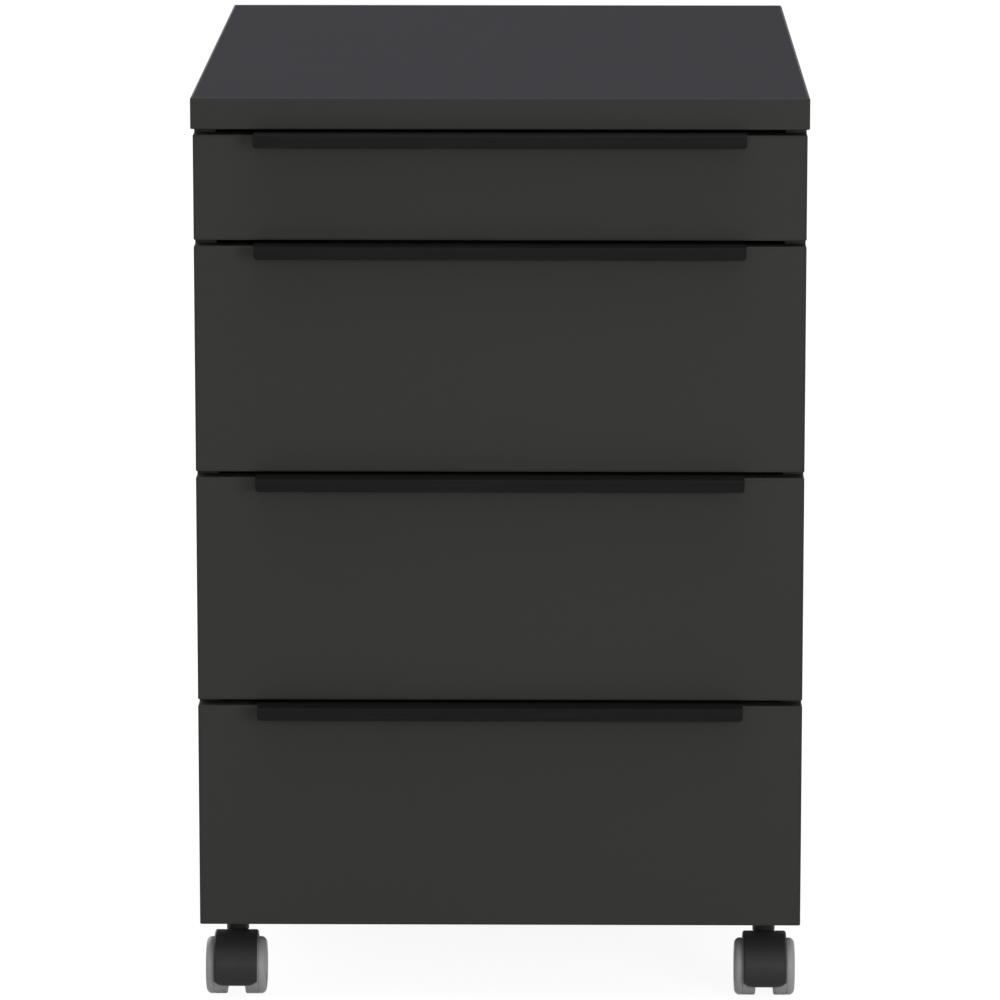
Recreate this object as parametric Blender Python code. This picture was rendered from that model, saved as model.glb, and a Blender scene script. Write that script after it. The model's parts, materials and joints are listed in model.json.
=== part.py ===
"""Rolling pedestal cabinet: a board carcass, four drawers on roller runners and four twin-wheel casters.

Metres, +Z up. The drawers open towards -Y. The origin is on the floor, under the middle of the outline.
"""

import math

import bmesh
import bpy
from mathutils import Matrix, Vector

MM = 0.001

# Clearance between pieces that touch
JOIN_GAP = 0.3 * MM

# Top board
TOP_WIDTH = 430 * MM
TOP_DEPTH = 580 * MM
TOP_THICK = 22 * MM
TOP_SIDE_LAP = 1.5 * MM
TOP_FRONT_LAP = 2 * MM
TOP_BACK_LAP = 2 * MM

# Carcass boards
BOARD_THICK = 15 * MM
EDGE_CHAMFER = 0.7 * MM
BACK_THICK = 3 * MM
BACK_INSET = 10 * MM
GROOVE_DEPTH = 5 * MM
GROOVE_END_GAP = 0.5 * MM

# Drawer fronts, one shallow above three deep
SHALLOW_FRONT_HEIGHT = 74 * MM
DEEP_FRONT_HEIGHT = 160 * MM
FRONT_THICK = 16 * MM
FRONT_GAP = 4 * MM
FRONT_STANDOFF = 2 * MM

# Handle strip, a folded profile hooked over the front's upper edge
HANDLE_END_INSET = 42.5 * MM
HANDLE_REACH = 17.5 * MM
HANDLE_LIP_HEIGHT = 9 * MM
HANDLE_LEG_HEIGHT = 25 * MM
HANDLE_WALL = 1.5 * MM
HANDLE_NOSE_RADIUS = 1.2 * MM

# Drawer boxes
SHALLOW_BOX_LIFT = 10 * MM
DEEP_BOX_LIFT = 26 * MM
SHALLOW_BOX_DROP = 10 * MM
DEEP_BOX_DROP = 16 * MM
STEEL_WALL = 1.2 * MM
BASE_FLANGE = 12 * MM
FRONT_FLANGE = 10.5 * MM
TOP_FOLD = 7 * MM
TOP_FOLD_DROP = 6 * MM
DRAWER_BACK_DROP = 12 * MM

# Roller runners
RUNNER_SPACE = 13 * MM
RUNNER_LIFT = 10 * MM
RUNNER_SETBACK = 3 * MM
RUNNER_REAR_SPACE = 42 * MM
RUNNER_SIDE_CLEARANCE = 1.5 * MM
RUNNER_HEADROOM = 1 * MM
FLANGE_CLEARANCE = 1 * MM
ROLLER_CLEARANCE = 0.7 * MM
FRONT_ROLLER_RADIUS = 9 * MM
ROLLER_WIDTH = 8 * MM
ROLLER_STUB_RADIUS = 3 * MM
ROLLER_END_SPACE = 3 * MM
REAR_ROLLER_GAP = 0.4 * MM
DRAWER_REAR_STEP = 6 * MM

# Casters
CASTER_HEIGHT = 58 * MM
CASTER_SIDE_INSET = 24.5 * MM
CASTER_END_INSET = 29 * MM
CASTER_TRAIL = 18 * MM
PLATE_SIZE = 38 * MM
PLATE_THICK = 2.5 * MM
PLATE_CORNER = 5 * MM
PIN_RADIUS = 3.5 * MM
PIN_LENGTH = 22 * MM
PIN_CLEARANCE = 0.3 * MM
NECK_RADIUS = 8.4 * MM
NECK_GAP = 0.5 * MM
HOOD_WIDTH = 31 * MM
HOOD_WALL = 3.2 * MM
HOOD_EDGE = 1.2 * MM
HOOD_CLEARANCE = 1.8 * MM
HOOD_FRONT_ANGLE = math.radians(-25.5)
HOOD_REAR_ANGLE = math.radians(150)
WEB_THICK = 12 * MM
WEB_HUB_RADIUS = 7 * MM
AXLE_RADIUS = 2.5 * MM
AXLE_CLEARANCE = 0.25 * MM
AXLE_END_GAP = 0.4 * MM
WHEEL_RADIUS = 20.5 * MM
WHEEL_WIDTH = 15 * MM
WHEEL_SIDE_GAP = 0.5 * MM
WHEEL_INNER_ROUND = 1.2 * MM
WHEEL_OUTER_ROUND = 4 * MM
WHEEL_RIM_FACE = 1.2 * MM
WHEEL_DISH_DEPTH = 1.4 * MM
WHEEL_CAP_THICK = 1.2 * MM

# Fineness of round shapes: facets round a full circle, points along an arc
WHEEL_FACETS = 32
PIN_FACETS = 24
HOOD_COVER_POINTS = 26
HOOD_HUB_POINTS = 10
NOSE_POINTS = 4
CORNER_SEGMENTS = 3
SHARP_ANGLE = math.radians(30)
CHAMFER_ANGLE = math.radians(60)
MERGE_DISTANCE = 0.001 * MM

# Places worked out from the sizes
CARCASS_WIDTH = TOP_WIDTH - 2 * TOP_SIDE_LAP
HALF_OUTER = CARCASS_WIDTH / 2
HALF_INNER = HALF_OUTER - BOARD_THICK
TOP_FRONT_Y = -(TOP_DEPTH - HANDLE_REACH + TOP_FRONT_LAP) / 2
FACE_Y = TOP_FRONT_Y + TOP_FRONT_LAP
TOP_BACK_Y = TOP_FRONT_Y + TOP_DEPTH
FRONT_BACK_Y = FACE_Y + FRONT_THICK
CARCASS_FRONT_Y = FRONT_BACK_Y + FRONT_STANDOFF
CARCASS_BACK_Y = TOP_BACK_Y - TOP_BACK_LAP
BACK_FACE_Y = CARCASS_BACK_Y - BACK_INSET - BACK_THICK
RUNNER_FRONT_Y = CARCASS_FRONT_Y + RUNNER_SETBACK
RUNNER_REAR_Y = BACK_FACE_Y - RUNNER_REAR_SPACE
DRAWER_REAR_Y = RUNNER_REAR_Y - DRAWER_REAR_STEP

CARCASS_BASE_Z = CASTER_HEIGHT
FLOOR_BOARD_Z = CARCASS_BASE_Z + BOARD_THICK

# Drawers from the top down: front height, box lift above the front's foot, box drop below its upper edge
SHALLOW = (SHALLOW_FRONT_HEIGHT, SHALLOW_BOX_LIFT, SHALLOW_BOX_DROP)
DEEP = (DEEP_FRONT_HEIGHT, DEEP_BOX_LIFT, DEEP_BOX_DROP)
DRAWERS = (SHALLOW, DEEP, DEEP, DEEP)

TOP_BASE_Z = CARCASS_BASE_Z + sum(height + FRONT_GAP for height, lift, drop in DRAWERS)

# Runner section: distances inwards from the side panel, and heights above the channel's base
CHANNEL_WEB = JOIN_GAP + STEEL_WALL
CHANNEL_FLANGE = RUNNER_SPACE - RUNNER_SIDE_CLEARANCE
ROLLER_START = CHANNEL_WEB + ROLLER_CLEARANCE
ROLLER_END = ROLLER_START + ROLLER_WIDTH
FRONT_ROLLER_Z = STEEL_WALL + JOIN_GAP + FRONT_ROLLER_RADIUS
RUN_FLANGE_Z = FRONT_ROLLER_Z + FRONT_ROLLER_RADIUS + JOIN_GAP
CHANNEL_TOP_Z = RUN_FLANGE_Z + STEEL_WALL + RUNNER_HEADROOM
REAR_ROLLER_RADIUS = (CHANNEL_TOP_Z - STEEL_WALL) / 2 - REAR_ROLLER_GAP
REAR_ROLLER_Z = STEEL_WALL + REAR_ROLLER_GAP + REAR_ROLLER_RADIUS
WALL_OUTER = HALF_INNER - RUNNER_SPACE
WALL_INNER = WALL_OUTER - STEEL_WALL

# Drawer bottom, above the side's base
DRAWER_FLOOR_Z = STEEL_WALL + JOIN_GAP
DRAWER_FLOOR_TOP_Z = DRAWER_FLOOR_Z + BOARD_THICK

# Caster section, from the floor and the swivel axis
PLATE_TOP_Z = CASTER_HEIGHT - JOIN_GAP
PLATE_BASE_Z = PLATE_TOP_Z - PLATE_THICK
NECK_TOP_Z = PLATE_BASE_Z - NECK_GAP
PIN_BASE_Z = PLATE_BASE_Z - PIN_LENGTH
HOOD_INNER_RADIUS = WHEEL_RADIUS + HOOD_CLEARANCE
HOOD_RADIUS = HOOD_INNER_RADIUS + HOOD_WALL
WHEEL_INNER_X = WEB_THICK / 2 + WHEEL_SIDE_GAP
WHEEL_BORE_DEPTH = WHEEL_WIDTH - WHEEL_DISH_DEPTH - WHEEL_CAP_THICK
AXLE_HALF = WHEEL_INNER_X + WHEEL_BORE_DEPTH - AXLE_END_GAP


def clear_scene():
    for item in list(bpy.data.objects):
        bpy.data.objects.remove(item, do_unlink=True)


def make_material(name, colour, roughness, metallic=0.0):
    material = bpy.data.materials.new(name)
    material.use_nodes = True
    shader = material.node_tree.nodes["Principled BSDF"]
    shader.inputs["Base Color"].default_value = (*colour, 1.0)
    shader.inputs["Roughness"].default_value = roughness
    shader.inputs["Metallic"].default_value = metallic
    return material


def make_materials():
    return {
        "board": make_material("graphite_board", (0.038, 0.038, 0.036), 0.5),
        "inner_board": make_material("drawer_board", (0.045, 0.045, 0.043), 0.6),
        "back": make_material("back_sheet", (0.05, 0.05, 0.048), 0.6),
        "handle": make_material("black_handle", (0.012, 0.012, 0.012), 0.35, 0.6),
        "steel": make_material("grey_steel", (0.11, 0.115, 0.12), 0.45, 0.3),
        "runner": make_material("plated_runner", (0.55, 0.55, 0.54), 0.35, 1.0),
        "plate": make_material("plated_caster_steel", (0.5, 0.5, 0.49), 0.35, 1.0),
        "hood": make_material("black_hood", (0.02, 0.02, 0.02), 0.4),
        "wheel": make_material("grey_wheel", (0.22, 0.22, 0.22), 0.55),
    }


def add_object(name, mesh, material=None, parent=None, location=(0.0, 0.0, 0.0)):
    item = bpy.data.objects.new(name, mesh)
    bpy.context.collection.objects.link(item)
    item.parent = parent
    item.location = location
    if material is not None and not mesh.materials:
        mesh.materials.append(material)
    return item


def add_empty(name, location):
    empty = bpy.data.objects.new(name, None)
    bpy.context.collection.objects.link(empty)
    empty.location = location
    return empty


def mesh_from(bm, name, smooth=False):
    bmesh.ops.recalc_face_normals(bm, faces=bm.faces)
    mesh = bpy.data.meshes.new(name)
    bm.to_mesh(mesh)
    bm.free()
    if smooth:
        mesh.shade_smooth()
        mesh.set_sharp_from_angle(angle=SHARP_ANGLE)
    return mesh


def box_mesh(name, low, high):
    low = Vector(low)
    size = Vector(high) - low
    bm = bmesh.new()
    bmesh.ops.create_cube(bm, size=1.0)
    bmesh.ops.scale(bm, vec=size, verts=bm.verts)
    bmesh.ops.translate(bm, vec=low + size / 2, verts=bm.verts)
    return mesh_from(bm, name)


def prism_mesh(name, outline, axis, start, end, smooth=False):
    """Extrude a 2-D outline along X (points are y, z), Y (x, z) or Z (x, y)."""
    place = {
        "X": lambda a, b: (start, a, b),
        "Y": lambda a, b: (a, start, b),
        "Z": lambda a, b: (a, b, start),
    }[axis]
    along = {"X": Vector((1, 0, 0)), "Y": Vector((0, 1, 0)), "Z": Vector((0, 0, 1))}[axis]
    bm = bmesh.new()
    face = bm.faces.new([bm.verts.new(place(a, b)) for a, b in outline])
    grown = bmesh.ops.extrude_face_region(bm, geom=[face])["geom"]
    ends = [item for item in grown if isinstance(item, bmesh.types.BMVert)]
    bmesh.ops.translate(bm, vec=along * (end - start), verts=ends)
    return mesh_from(bm, name, smooth)


def turned_mesh(name, profile, facets, axis="X"):
    """Spin a profile of (distance along the axis, radius) points. A facet, not an edge, faces down."""
    outward = 1 / math.cos(math.pi / facets)
    bm = bmesh.new()
    verts = [bm.verts.new((along, 0.0, radius * outward)) for along, radius in profile]
    for first, second in zip(verts, verts[1:] + verts[:1]):
        if first.co.z > 0 or second.co.z > 0:
            bm.edges.new((first, second))
    bmesh.ops.rotate(bm, cent=(0, 0, 0), matrix=Matrix.Rotation(math.pi / facets, 3, "X"), verts=bm.verts)
    bmesh.ops.spin(
        bm, geom=bm.verts[:] + bm.edges[:], cent=(0, 0, 0), axis=(1, 0, 0), angle=math.tau, steps=facets
    )
    bmesh.ops.remove_doubles(bm, verts=bm.verts, dist=MERGE_DISTANCE)
    if axis == "Z":
        bmesh.ops.rotate(bm, cent=(0, 0, 0), matrix=Matrix.Rotation(-math.pi / 2, 3, "Y"), verts=bm.verts)
    return mesh_from(bm, name, smooth=True)


def rod_mesh(name, start, end, radius, facets, axis="X"):
    return turned_mesh(name, ((start, 0.0), (start, radius), (end, radius), (end, 0.0)), facets, axis)


def moved(mesh, offset):
    mesh.transform(Matrix.Translation(offset))
    return mesh


def mirrored(mesh):
    mesh.transform(Matrix.Scale(-1, 4, Vector((1, 0, 0))))
    mesh.flip_normals()
    return mesh


def chamfer(item, width):
    modifier = item.modifiers.new("edge_chamfer", "BEVEL")
    modifier.width = width
    modifier.segments = 1
    modifier.limit_method = "ANGLE"
    modifier.angle_limit = CHAMFER_ANGLE


def carved_mesh(name, base_mesh, steps, edge=0.0):
    """The base mesh after (Boolean operation, tool mesh) steps, with any edge chamfer made first."""
    base = add_object(name, base_mesh)
    if edge:
        chamfer(base, edge)
    tools = []
    for operation, tool_mesh in steps:
        tool = add_object(tool_mesh.name, tool_mesh)
        tools.append(tool)
        modifier = base.modifiers.new(tool_mesh.name, "BOOLEAN")
        modifier.operation = operation
        modifier.object = tool
    bpy.context.view_layer.update()
    shape = bpy.data.meshes.new_from_object(base.evaluated_get(bpy.context.evaluated_depsgraph_get()))
    for item in (base, *tools):
        bpy.data.objects.remove(item, do_unlink=True)
    shape.name = name
    return shape


def arc_points(centre, radius, start, end, count):
    """Points on an arc. Angle 0 looks along the first axis backwards (-Y here), and 90 degrees looks up."""
    steps = [start + (end - start) * index / (count - 1) for index in range(count)]
    return [(centre[0] - radius * math.cos(a), centre[1] + radius * math.sin(a)) for a in steps]


def build_carcass(materials):
    back_low = (-HALF_INNER - GROOVE_DEPTH, BACK_FACE_Y, FLOOR_BOARD_Z - GROOVE_DEPTH)
    back_high = (HALF_INNER + GROOVE_DEPTH, BACK_FACE_Y + BACK_THICK, TOP_BASE_Z + GROOVE_DEPTH)
    shrink = Vector((GROOVE_END_GAP, 0.0, GROOVE_END_GAP))
    spread = Vector((0.0, JOIN_GAP, 0.0))
    boards = {
        "top_panel": (
            (-TOP_WIDTH / 2, TOP_FRONT_Y, TOP_BASE_Z),
            (TOP_WIDTH / 2, TOP_BACK_Y, TOP_BASE_Z + TOP_THICK),
        ),
        "left_side_panel": (
            (-HALF_OUTER, CARCASS_FRONT_Y, FLOOR_BOARD_Z + JOIN_GAP),
            (-HALF_INNER, CARCASS_BACK_Y, TOP_BASE_Z - JOIN_GAP),
        ),
        "right_side_panel": (
            (HALF_INNER, CARCASS_FRONT_Y, FLOOR_BOARD_Z + JOIN_GAP),
            (HALF_OUTER, CARCASS_BACK_Y, TOP_BASE_Z - JOIN_GAP),
        ),
        "bottom_panel": (
            (-HALF_OUTER, CARCASS_FRONT_Y, CARCASS_BASE_Z),
            (HALF_OUTER, CARCASS_BACK_Y, FLOOR_BOARD_Z),
        ),
    }
    for name, (low, high) in boards.items():
        groove = box_mesh("back_groove", Vector(back_low) - spread, Vector(back_high) + spread)
        shape = carved_mesh(name, box_mesh(name, low, high), [("DIFFERENCE", groove)], EDGE_CHAMFER)
        add_object(name, shape, materials["board"])
    sheet = box_mesh("back_panel", Vector(back_low) + shrink, Vector(back_high) - shrink)
    add_object("back_panel", sheet, materials["back"])


def roller_mesh(name, radius, start, end, stub):
    """A roller along X between start and end, with a stub axle that reaches to the given place."""
    if stub < start:
        profile = (
            (stub, 0.0),
            (stub, ROLLER_STUB_RADIUS),
            (start, ROLLER_STUB_RADIUS),
            (start, radius),
            (end, radius),
            (end, 0.0),
        )
    else:
        profile = (
            (start, 0.0),
            (start, radius),
            (end, radius),
            (end, ROLLER_STUB_RADIUS),
            (stub, ROLLER_STUB_RADIUS),
            (stub, 0.0),
        )
    return turned_mesh(name, profile, PIN_FACETS)


def runner_mesh(name, base_z):
    """The right-hand channel that is screwed to the cabinet, with its front roller."""
    web_back = HALF_INNER - JOIN_GAP
    web_face = HALF_INNER - CHANNEL_WEB
    lip = HALF_INNER - CHANNEL_FLANGE
    outline = [
        (lip, base_z),
        (web_back, base_z),
        (web_back, base_z + CHANNEL_TOP_Z + STEEL_WALL),
        (lip, base_z + CHANNEL_TOP_Z + STEEL_WALL),
        (lip, base_z + CHANNEL_TOP_Z),
        (web_face, base_z + CHANNEL_TOP_Z),
        (web_face, base_z + STEEL_WALL),
        (lip, base_z + STEEL_WALL),
    ]
    channel = prism_mesh(name, outline, "Y", RUNNER_FRONT_Y, RUNNER_REAR_Y)
    stub_end = web_face + STEEL_WALL / 2
    roller = roller_mesh(
        "front_roller", FRONT_ROLLER_RADIUS, HALF_INNER - ROLLER_END, HALF_INNER - ROLLER_START, stub_end
    )
    roller_y = RUNNER_FRONT_Y + ROLLER_END_SPACE + FRONT_ROLLER_RADIUS
    moved(roller, (0.0, roller_y, base_z + FRONT_ROLLER_Z))
    return carved_mesh(name, channel, [("UNION", roller)])


def drawer_side_mesh(name, height, flange_top):
    """The right-hand drawer side in drawer coordinates: y from the front's face, z from the side's base."""
    front_y = FRONT_THICK + JOIN_GAP
    rear_y = DRAWER_REAR_Y - FACE_Y
    run_edge = HALF_INNER - CHANNEL_WEB - FLANGE_CLEARANCE
    run_z = RUNNER_LIFT + RUN_FLANGE_Z
    fold_x = WALL_OUTER + TOP_FOLD
    outline = [
        (WALL_INNER - BASE_FLANGE, 0.0),
        (WALL_OUTER, 0.0),
        (WALL_OUTER, run_z),
        (run_edge, run_z),
        (run_edge, run_z + STEEL_WALL),
        (WALL_OUTER, run_z + STEEL_WALL),
        (WALL_OUTER, height - STEEL_WALL),
        (fold_x - STEEL_WALL, height - STEEL_WALL),
        (fold_x - STEEL_WALL, height - TOP_FOLD_DROP),
        (fold_x, height - TOP_FOLD_DROP),
        (fold_x, height),
        (WALL_INNER, height),
        (WALL_INNER, STEEL_WALL),
        (WALL_INNER - BASE_FLANGE, STEEL_WALL),
    ]
    profile = prism_mesh(name, outline, "Y", front_y, rear_y)
    roller_y = rear_y - ROLLER_END_SPACE - REAR_ROLLER_RADIUS
    notch = box_mesh(
        "roller_notch",
        (WALL_OUTER, roller_y - REAR_ROLLER_RADIUS - ROLLER_END_SPACE, run_z - STEEL_WALL),
        (HALF_INNER, rear_y + ROLLER_END_SPACE, run_z + 2 * STEEL_WALL),
    )
    stub_end = WALL_OUTER - STEEL_WALL / 2
    roller = roller_mesh(
        "rear_roller", REAR_ROLLER_RADIUS, HALF_INNER - ROLLER_END, HALF_INNER - ROLLER_START, stub_end
    )
    moved(roller, (0.0, roller_y, RUNNER_LIFT + REAR_ROLLER_Z))
    flange = box_mesh(
        "front_flange",
        (WALL_INNER - FRONT_FLANGE, front_y, DRAWER_FLOOR_TOP_Z + JOIN_GAP),
        (WALL_INNER + STEEL_WALL / 2, front_y + STEEL_WALL, flange_top),
    )
    return carved_mesh(name, profile, [("DIFFERENCE", notch), ("UNION", roller), ("UNION", flange)])


def handle_mesh(front_height):
    """The folded strip over a front's upper edge, in drawer coordinates."""
    half = HALF_OUTER - HANDLE_END_INSET
    under = front_height + JOIN_GAP
    top = under + HANDLE_WALL
    lip_z = top - HANDLE_LIP_HEIGHT
    leg_face = FRONT_THICK + JOIN_GAP
    leg_back = leg_face + HANDLE_WALL
    nose = (-HANDLE_REACH + HANDLE_NOSE_RADIUS, top - HANDLE_NOSE_RADIUS)
    outline = [
        *arc_points(nose, HANDLE_NOSE_RADIUS, 0.0, math.pi / 2, NOSE_POINTS),
        (leg_back, top),
        (leg_back, top - HANDLE_LEG_HEIGHT),
        (leg_face, top - HANDLE_LEG_HEIGHT),
        (leg_face, under),
        (-HANDLE_REACH + HANDLE_WALL, under),
        (-HANDLE_REACH + HANDLE_WALL, lip_z),
        (-HANDLE_REACH, lip_z),
    ]
    return prism_mesh("handle", outline, "X", -half, half, smooth=True)


def build_drawer(number, front_z, height, lift, drop, materials):
    label = f"drawer_{number}"
    slide = add_empty(f"{label}_slide", (0.0, FACE_Y, front_z))
    front = box_mesh(f"{label}_front", (-HALF_OUTER, 0.0, 0.0), (HALF_OUTER, FRONT_THICK, height))
    chamfer(add_object(f"{label}_front", front, materials["board"], slide), EDGE_CHAMFER)
    add_object(f"{label}_handle", handle_mesh(height), materials["handle"], slide)

    side_height = height - lift - drop
    flange_top = height - HANDLE_LEG_HEIGHT - lift
    base = (0.0, 0.0, lift)
    right = drawer_side_mesh(f"{label}_right_side", side_height, flange_top)
    left = mirrored(right.copy())
    add_object(f"{label}_right_side", right, materials["steel"], slide, base)
    add_object(f"{label}_left_side", left, materials["steel"], slide, base)

    half = WALL_INNER - JOIN_GAP
    rear_y = DRAWER_REAR_Y - FACE_Y
    floor = box_mesh(
        f"{label}_bottom",
        (-half, FRONT_THICK + JOIN_GAP, DRAWER_FLOOR_Z),
        (half, rear_y, DRAWER_FLOOR_TOP_Z),
    )
    add_object(f"{label}_bottom", floor, materials["inner_board"], slide, base)
    back = box_mesh(
        f"{label}_back",
        (-half, rear_y - BOARD_THICK, DRAWER_FLOOR_TOP_Z + JOIN_GAP),
        (half, rear_y, side_height - DRAWER_BACK_DROP),
    )
    add_object(f"{label}_back", back, materials["inner_board"], slide, base)

    runner_z = front_z + lift + RUNNER_LIFT
    right_runner = runner_mesh(f"runner_{number}_right", runner_z)
    left_runner = mirrored(right_runner.copy())
    add_object(f"runner_{number}_right", right_runner, materials["runner"])
    add_object(f"runner_{number}_left", left_runner, materials["runner"])


def build_drawers(materials):
    front_z = TOP_BASE_Z
    for number, (height, lift, drop) in enumerate(DRAWERS, start=1):
        front_z -= FRONT_GAP + height
        build_drawer(number, front_z, height, lift, drop, materials)


def caster_plate_mesh():
    """A square plate under the bottom panel, with the swivel pin riveted into it."""
    half = PLATE_SIZE / 2
    plate = box_mesh("caster_plate", (-half, -half, PLATE_BASE_Z), (half, half, PLATE_TOP_Z))
    bm = bmesh.new()
    bm.from_mesh(plate)
    upright = [edge for edge in bm.edges if abs(edge.verts[0].co.z - edge.verts[1].co.z) > PLATE_THICK / 2]
    bmesh.ops.bevel(
        bm, geom=upright, offset=PLATE_CORNER, segments=CORNER_SEGMENTS, affect="EDGES", profile=0.5
    )
    rounded = mesh_from(bm, "caster_plate")
    pin = rod_mesh("swivel_pin", PIN_BASE_Z, PLATE_BASE_Z + PLATE_THICK / 2, PIN_RADIUS, PIN_FACETS, "Z")
    return carved_mesh("caster_plate", rounded, [("UNION", pin)])


def caster_hood_mesh():
    """A shell over both wheels, on a central web that holds the axle and the neck that turns on the pin."""
    axle = (-CASTER_TRAIL, WHEEL_RADIUS)
    cover = arc_points(axle, HOOD_RADIUS, HOOD_FRONT_ANGLE, HOOD_REAR_ANGLE, HOOD_COVER_POINTS)
    hub = arc_points(axle, WEB_HUB_RADIUS, HOOD_REAR_ANGLE, math.tau + HOOD_FRONT_ANGLE, HOOD_HUB_POINTS)
    body = prism_mesh("caster_hood", cover + hub, "X", -HOOD_WIDTH / 2, HOOD_WIDTH / 2)
    bore_radius = PIN_RADIUS + PIN_CLEARANCE
    bore_base = PIN_BASE_Z - PIN_CLEARANCE
    neck_base = WHEEL_RADIUS + WEB_HUB_RADIUS
    neck = rod_mesh("swivel_neck", neck_base, NECK_TOP_Z, NECK_RADIUS, PIN_FACETS, "Z")
    steps = [("UNION", neck)]
    for side in (-1, 1):
        near, far = sorted((side * WEB_THICK / 2, side * HOOD_WIDTH))
        space = rod_mesh("wheel_space", near, far, HOOD_INNER_RADIUS, WHEEL_FACETS)
        steps.append(("DIFFERENCE", moved(space, (0.0, axle[0], axle[1]))))
    bore = rod_mesh("pin_bore", bore_base, PLATE_TOP_Z, bore_radius, PIN_FACETS, "Z")
    axle_bore = rod_mesh("axle_bore", -HOOD_WIDTH, HOOD_WIDTH, AXLE_RADIUS + AXLE_CLEARANCE, PIN_FACETS)
    steps.append(("DIFFERENCE", bore))
    steps.append(("DIFFERENCE", moved(axle_bore, (0.0, axle[0], axle[1]))))
    return carved_mesh("caster_hood", body, steps, HOOD_EDGE)


def wheel_mesh():
    """A right-hand wheel about its axle: bore from the inner face, and a dished outer face."""
    bore = AXLE_RADIUS + AXLE_CLEARANCE
    dish_radius = WHEEL_RADIUS - WHEEL_OUTER_ROUND - WHEEL_RIM_FACE
    dish_x = WHEEL_WIDTH - WHEEL_DISH_DEPTH
    slant = math.sqrt(0.5) * WHEEL_OUTER_ROUND
    profile = [
        (0.0, bore),
        (0.0, WHEEL_RADIUS - WHEEL_INNER_ROUND),
        (WHEEL_INNER_ROUND, WHEEL_RADIUS),
        (WHEEL_WIDTH - WHEEL_OUTER_ROUND, WHEEL_RADIUS),
        (WHEEL_WIDTH - WHEEL_OUTER_ROUND + slant, WHEEL_RADIUS - WHEEL_OUTER_ROUND + slant),
        (WHEEL_WIDTH, WHEEL_RADIUS - WHEEL_OUTER_ROUND),
        (WHEEL_WIDTH, dish_radius),
        (dish_x, dish_radius - WHEEL_DISH_DEPTH),
        (dish_x, 0.0),
        (WHEEL_BORE_DEPTH, 0.0),
        (WHEEL_BORE_DEPTH, bore),
    ]
    return moved(turned_mesh("wheel", profile, WHEEL_FACETS), (WHEEL_INNER_X, 0.0, 0.0))


def build_casters(materials):
    plate = caster_plate_mesh()
    hood = caster_hood_mesh()
    axle = rod_mesh("axle", -AXLE_HALF, AXLE_HALF, AXLE_RADIUS, PIN_FACETS)
    right_wheel = wheel_mesh()
    left_wheel = mirrored(right_wheel.copy())
    swivel_x = HALF_OUTER - CASTER_SIDE_INSET
    ends = {"front": CARCASS_FRONT_Y + CASTER_END_INSET, "rear": CARCASS_BACK_Y - CASTER_END_INSET}
    for end, swivel_y in ends.items():
        for side, sign in (("left", -1), ("right", 1)):
            label = f"{end}_{side}"
            swivel = add_empty(f"swivel_{label}", (sign * swivel_x, swivel_y, 0.0))
            axle_place = (0.0, -CASTER_TRAIL, WHEEL_RADIUS)
            add_object(f"caster_plate_{label}", plate, materials["plate"], swivel)
            add_object(f"caster_hood_{label}", hood, materials["hood"], swivel)
            add_object(f"caster_axle_{label}", axle, materials["plate"], swivel, axle_place)
            add_object(f"caster_wheel_{label}_left", left_wheel, materials["wheel"], swivel, axle_place)
            add_object(f"caster_wheel_{label}_right", right_wheel, materials["wheel"], swivel, axle_place)


def main():
    clear_scene()
    materials = make_materials()
    build_carcass(materials)
    build_drawers(materials)
    build_casters(materials)


main()
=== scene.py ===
# %% [markdown]
# # Dressing a rolling pedestal cabinet
# The frame holds the cabinet's real pieces at their real size, on bodies that slide, swivel and roll. This
# lesson gives them their looks: boards get banded edges, folded metal its bends, moulded parts their curves,
# and every surface a finish. Each piece reads its place from the frame.

import json
import math

import bmesh
import bpy
from mathutils import Matrix, Vector

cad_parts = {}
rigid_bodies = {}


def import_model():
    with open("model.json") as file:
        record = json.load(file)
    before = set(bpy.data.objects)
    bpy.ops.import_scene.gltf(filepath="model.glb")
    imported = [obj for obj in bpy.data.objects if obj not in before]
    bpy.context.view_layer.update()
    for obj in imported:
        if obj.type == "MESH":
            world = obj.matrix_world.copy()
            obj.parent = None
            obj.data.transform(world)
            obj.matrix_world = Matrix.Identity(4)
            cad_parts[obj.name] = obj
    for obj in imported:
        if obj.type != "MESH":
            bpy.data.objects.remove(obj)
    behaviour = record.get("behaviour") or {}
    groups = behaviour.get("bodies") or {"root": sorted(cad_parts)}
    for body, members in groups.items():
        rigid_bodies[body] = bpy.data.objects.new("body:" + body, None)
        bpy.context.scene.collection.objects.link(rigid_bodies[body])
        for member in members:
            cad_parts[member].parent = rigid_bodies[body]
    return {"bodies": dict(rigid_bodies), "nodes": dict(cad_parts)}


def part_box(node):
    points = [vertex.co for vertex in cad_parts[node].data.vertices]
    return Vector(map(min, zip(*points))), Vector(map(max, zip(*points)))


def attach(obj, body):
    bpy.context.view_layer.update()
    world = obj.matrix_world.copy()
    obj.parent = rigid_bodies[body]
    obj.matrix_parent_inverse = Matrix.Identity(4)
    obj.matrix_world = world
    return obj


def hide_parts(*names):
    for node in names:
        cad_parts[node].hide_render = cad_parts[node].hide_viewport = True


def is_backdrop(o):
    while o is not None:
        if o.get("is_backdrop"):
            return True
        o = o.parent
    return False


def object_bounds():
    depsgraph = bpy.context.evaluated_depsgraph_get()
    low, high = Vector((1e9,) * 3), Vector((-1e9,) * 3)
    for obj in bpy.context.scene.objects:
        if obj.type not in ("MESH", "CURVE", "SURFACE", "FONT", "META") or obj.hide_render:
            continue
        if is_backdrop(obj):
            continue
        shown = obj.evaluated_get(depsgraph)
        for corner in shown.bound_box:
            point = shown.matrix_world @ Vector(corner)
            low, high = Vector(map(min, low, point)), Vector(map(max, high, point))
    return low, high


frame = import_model()
cad_low, cad_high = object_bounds()
MM = 0.001
scene = bpy.context.scene
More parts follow.
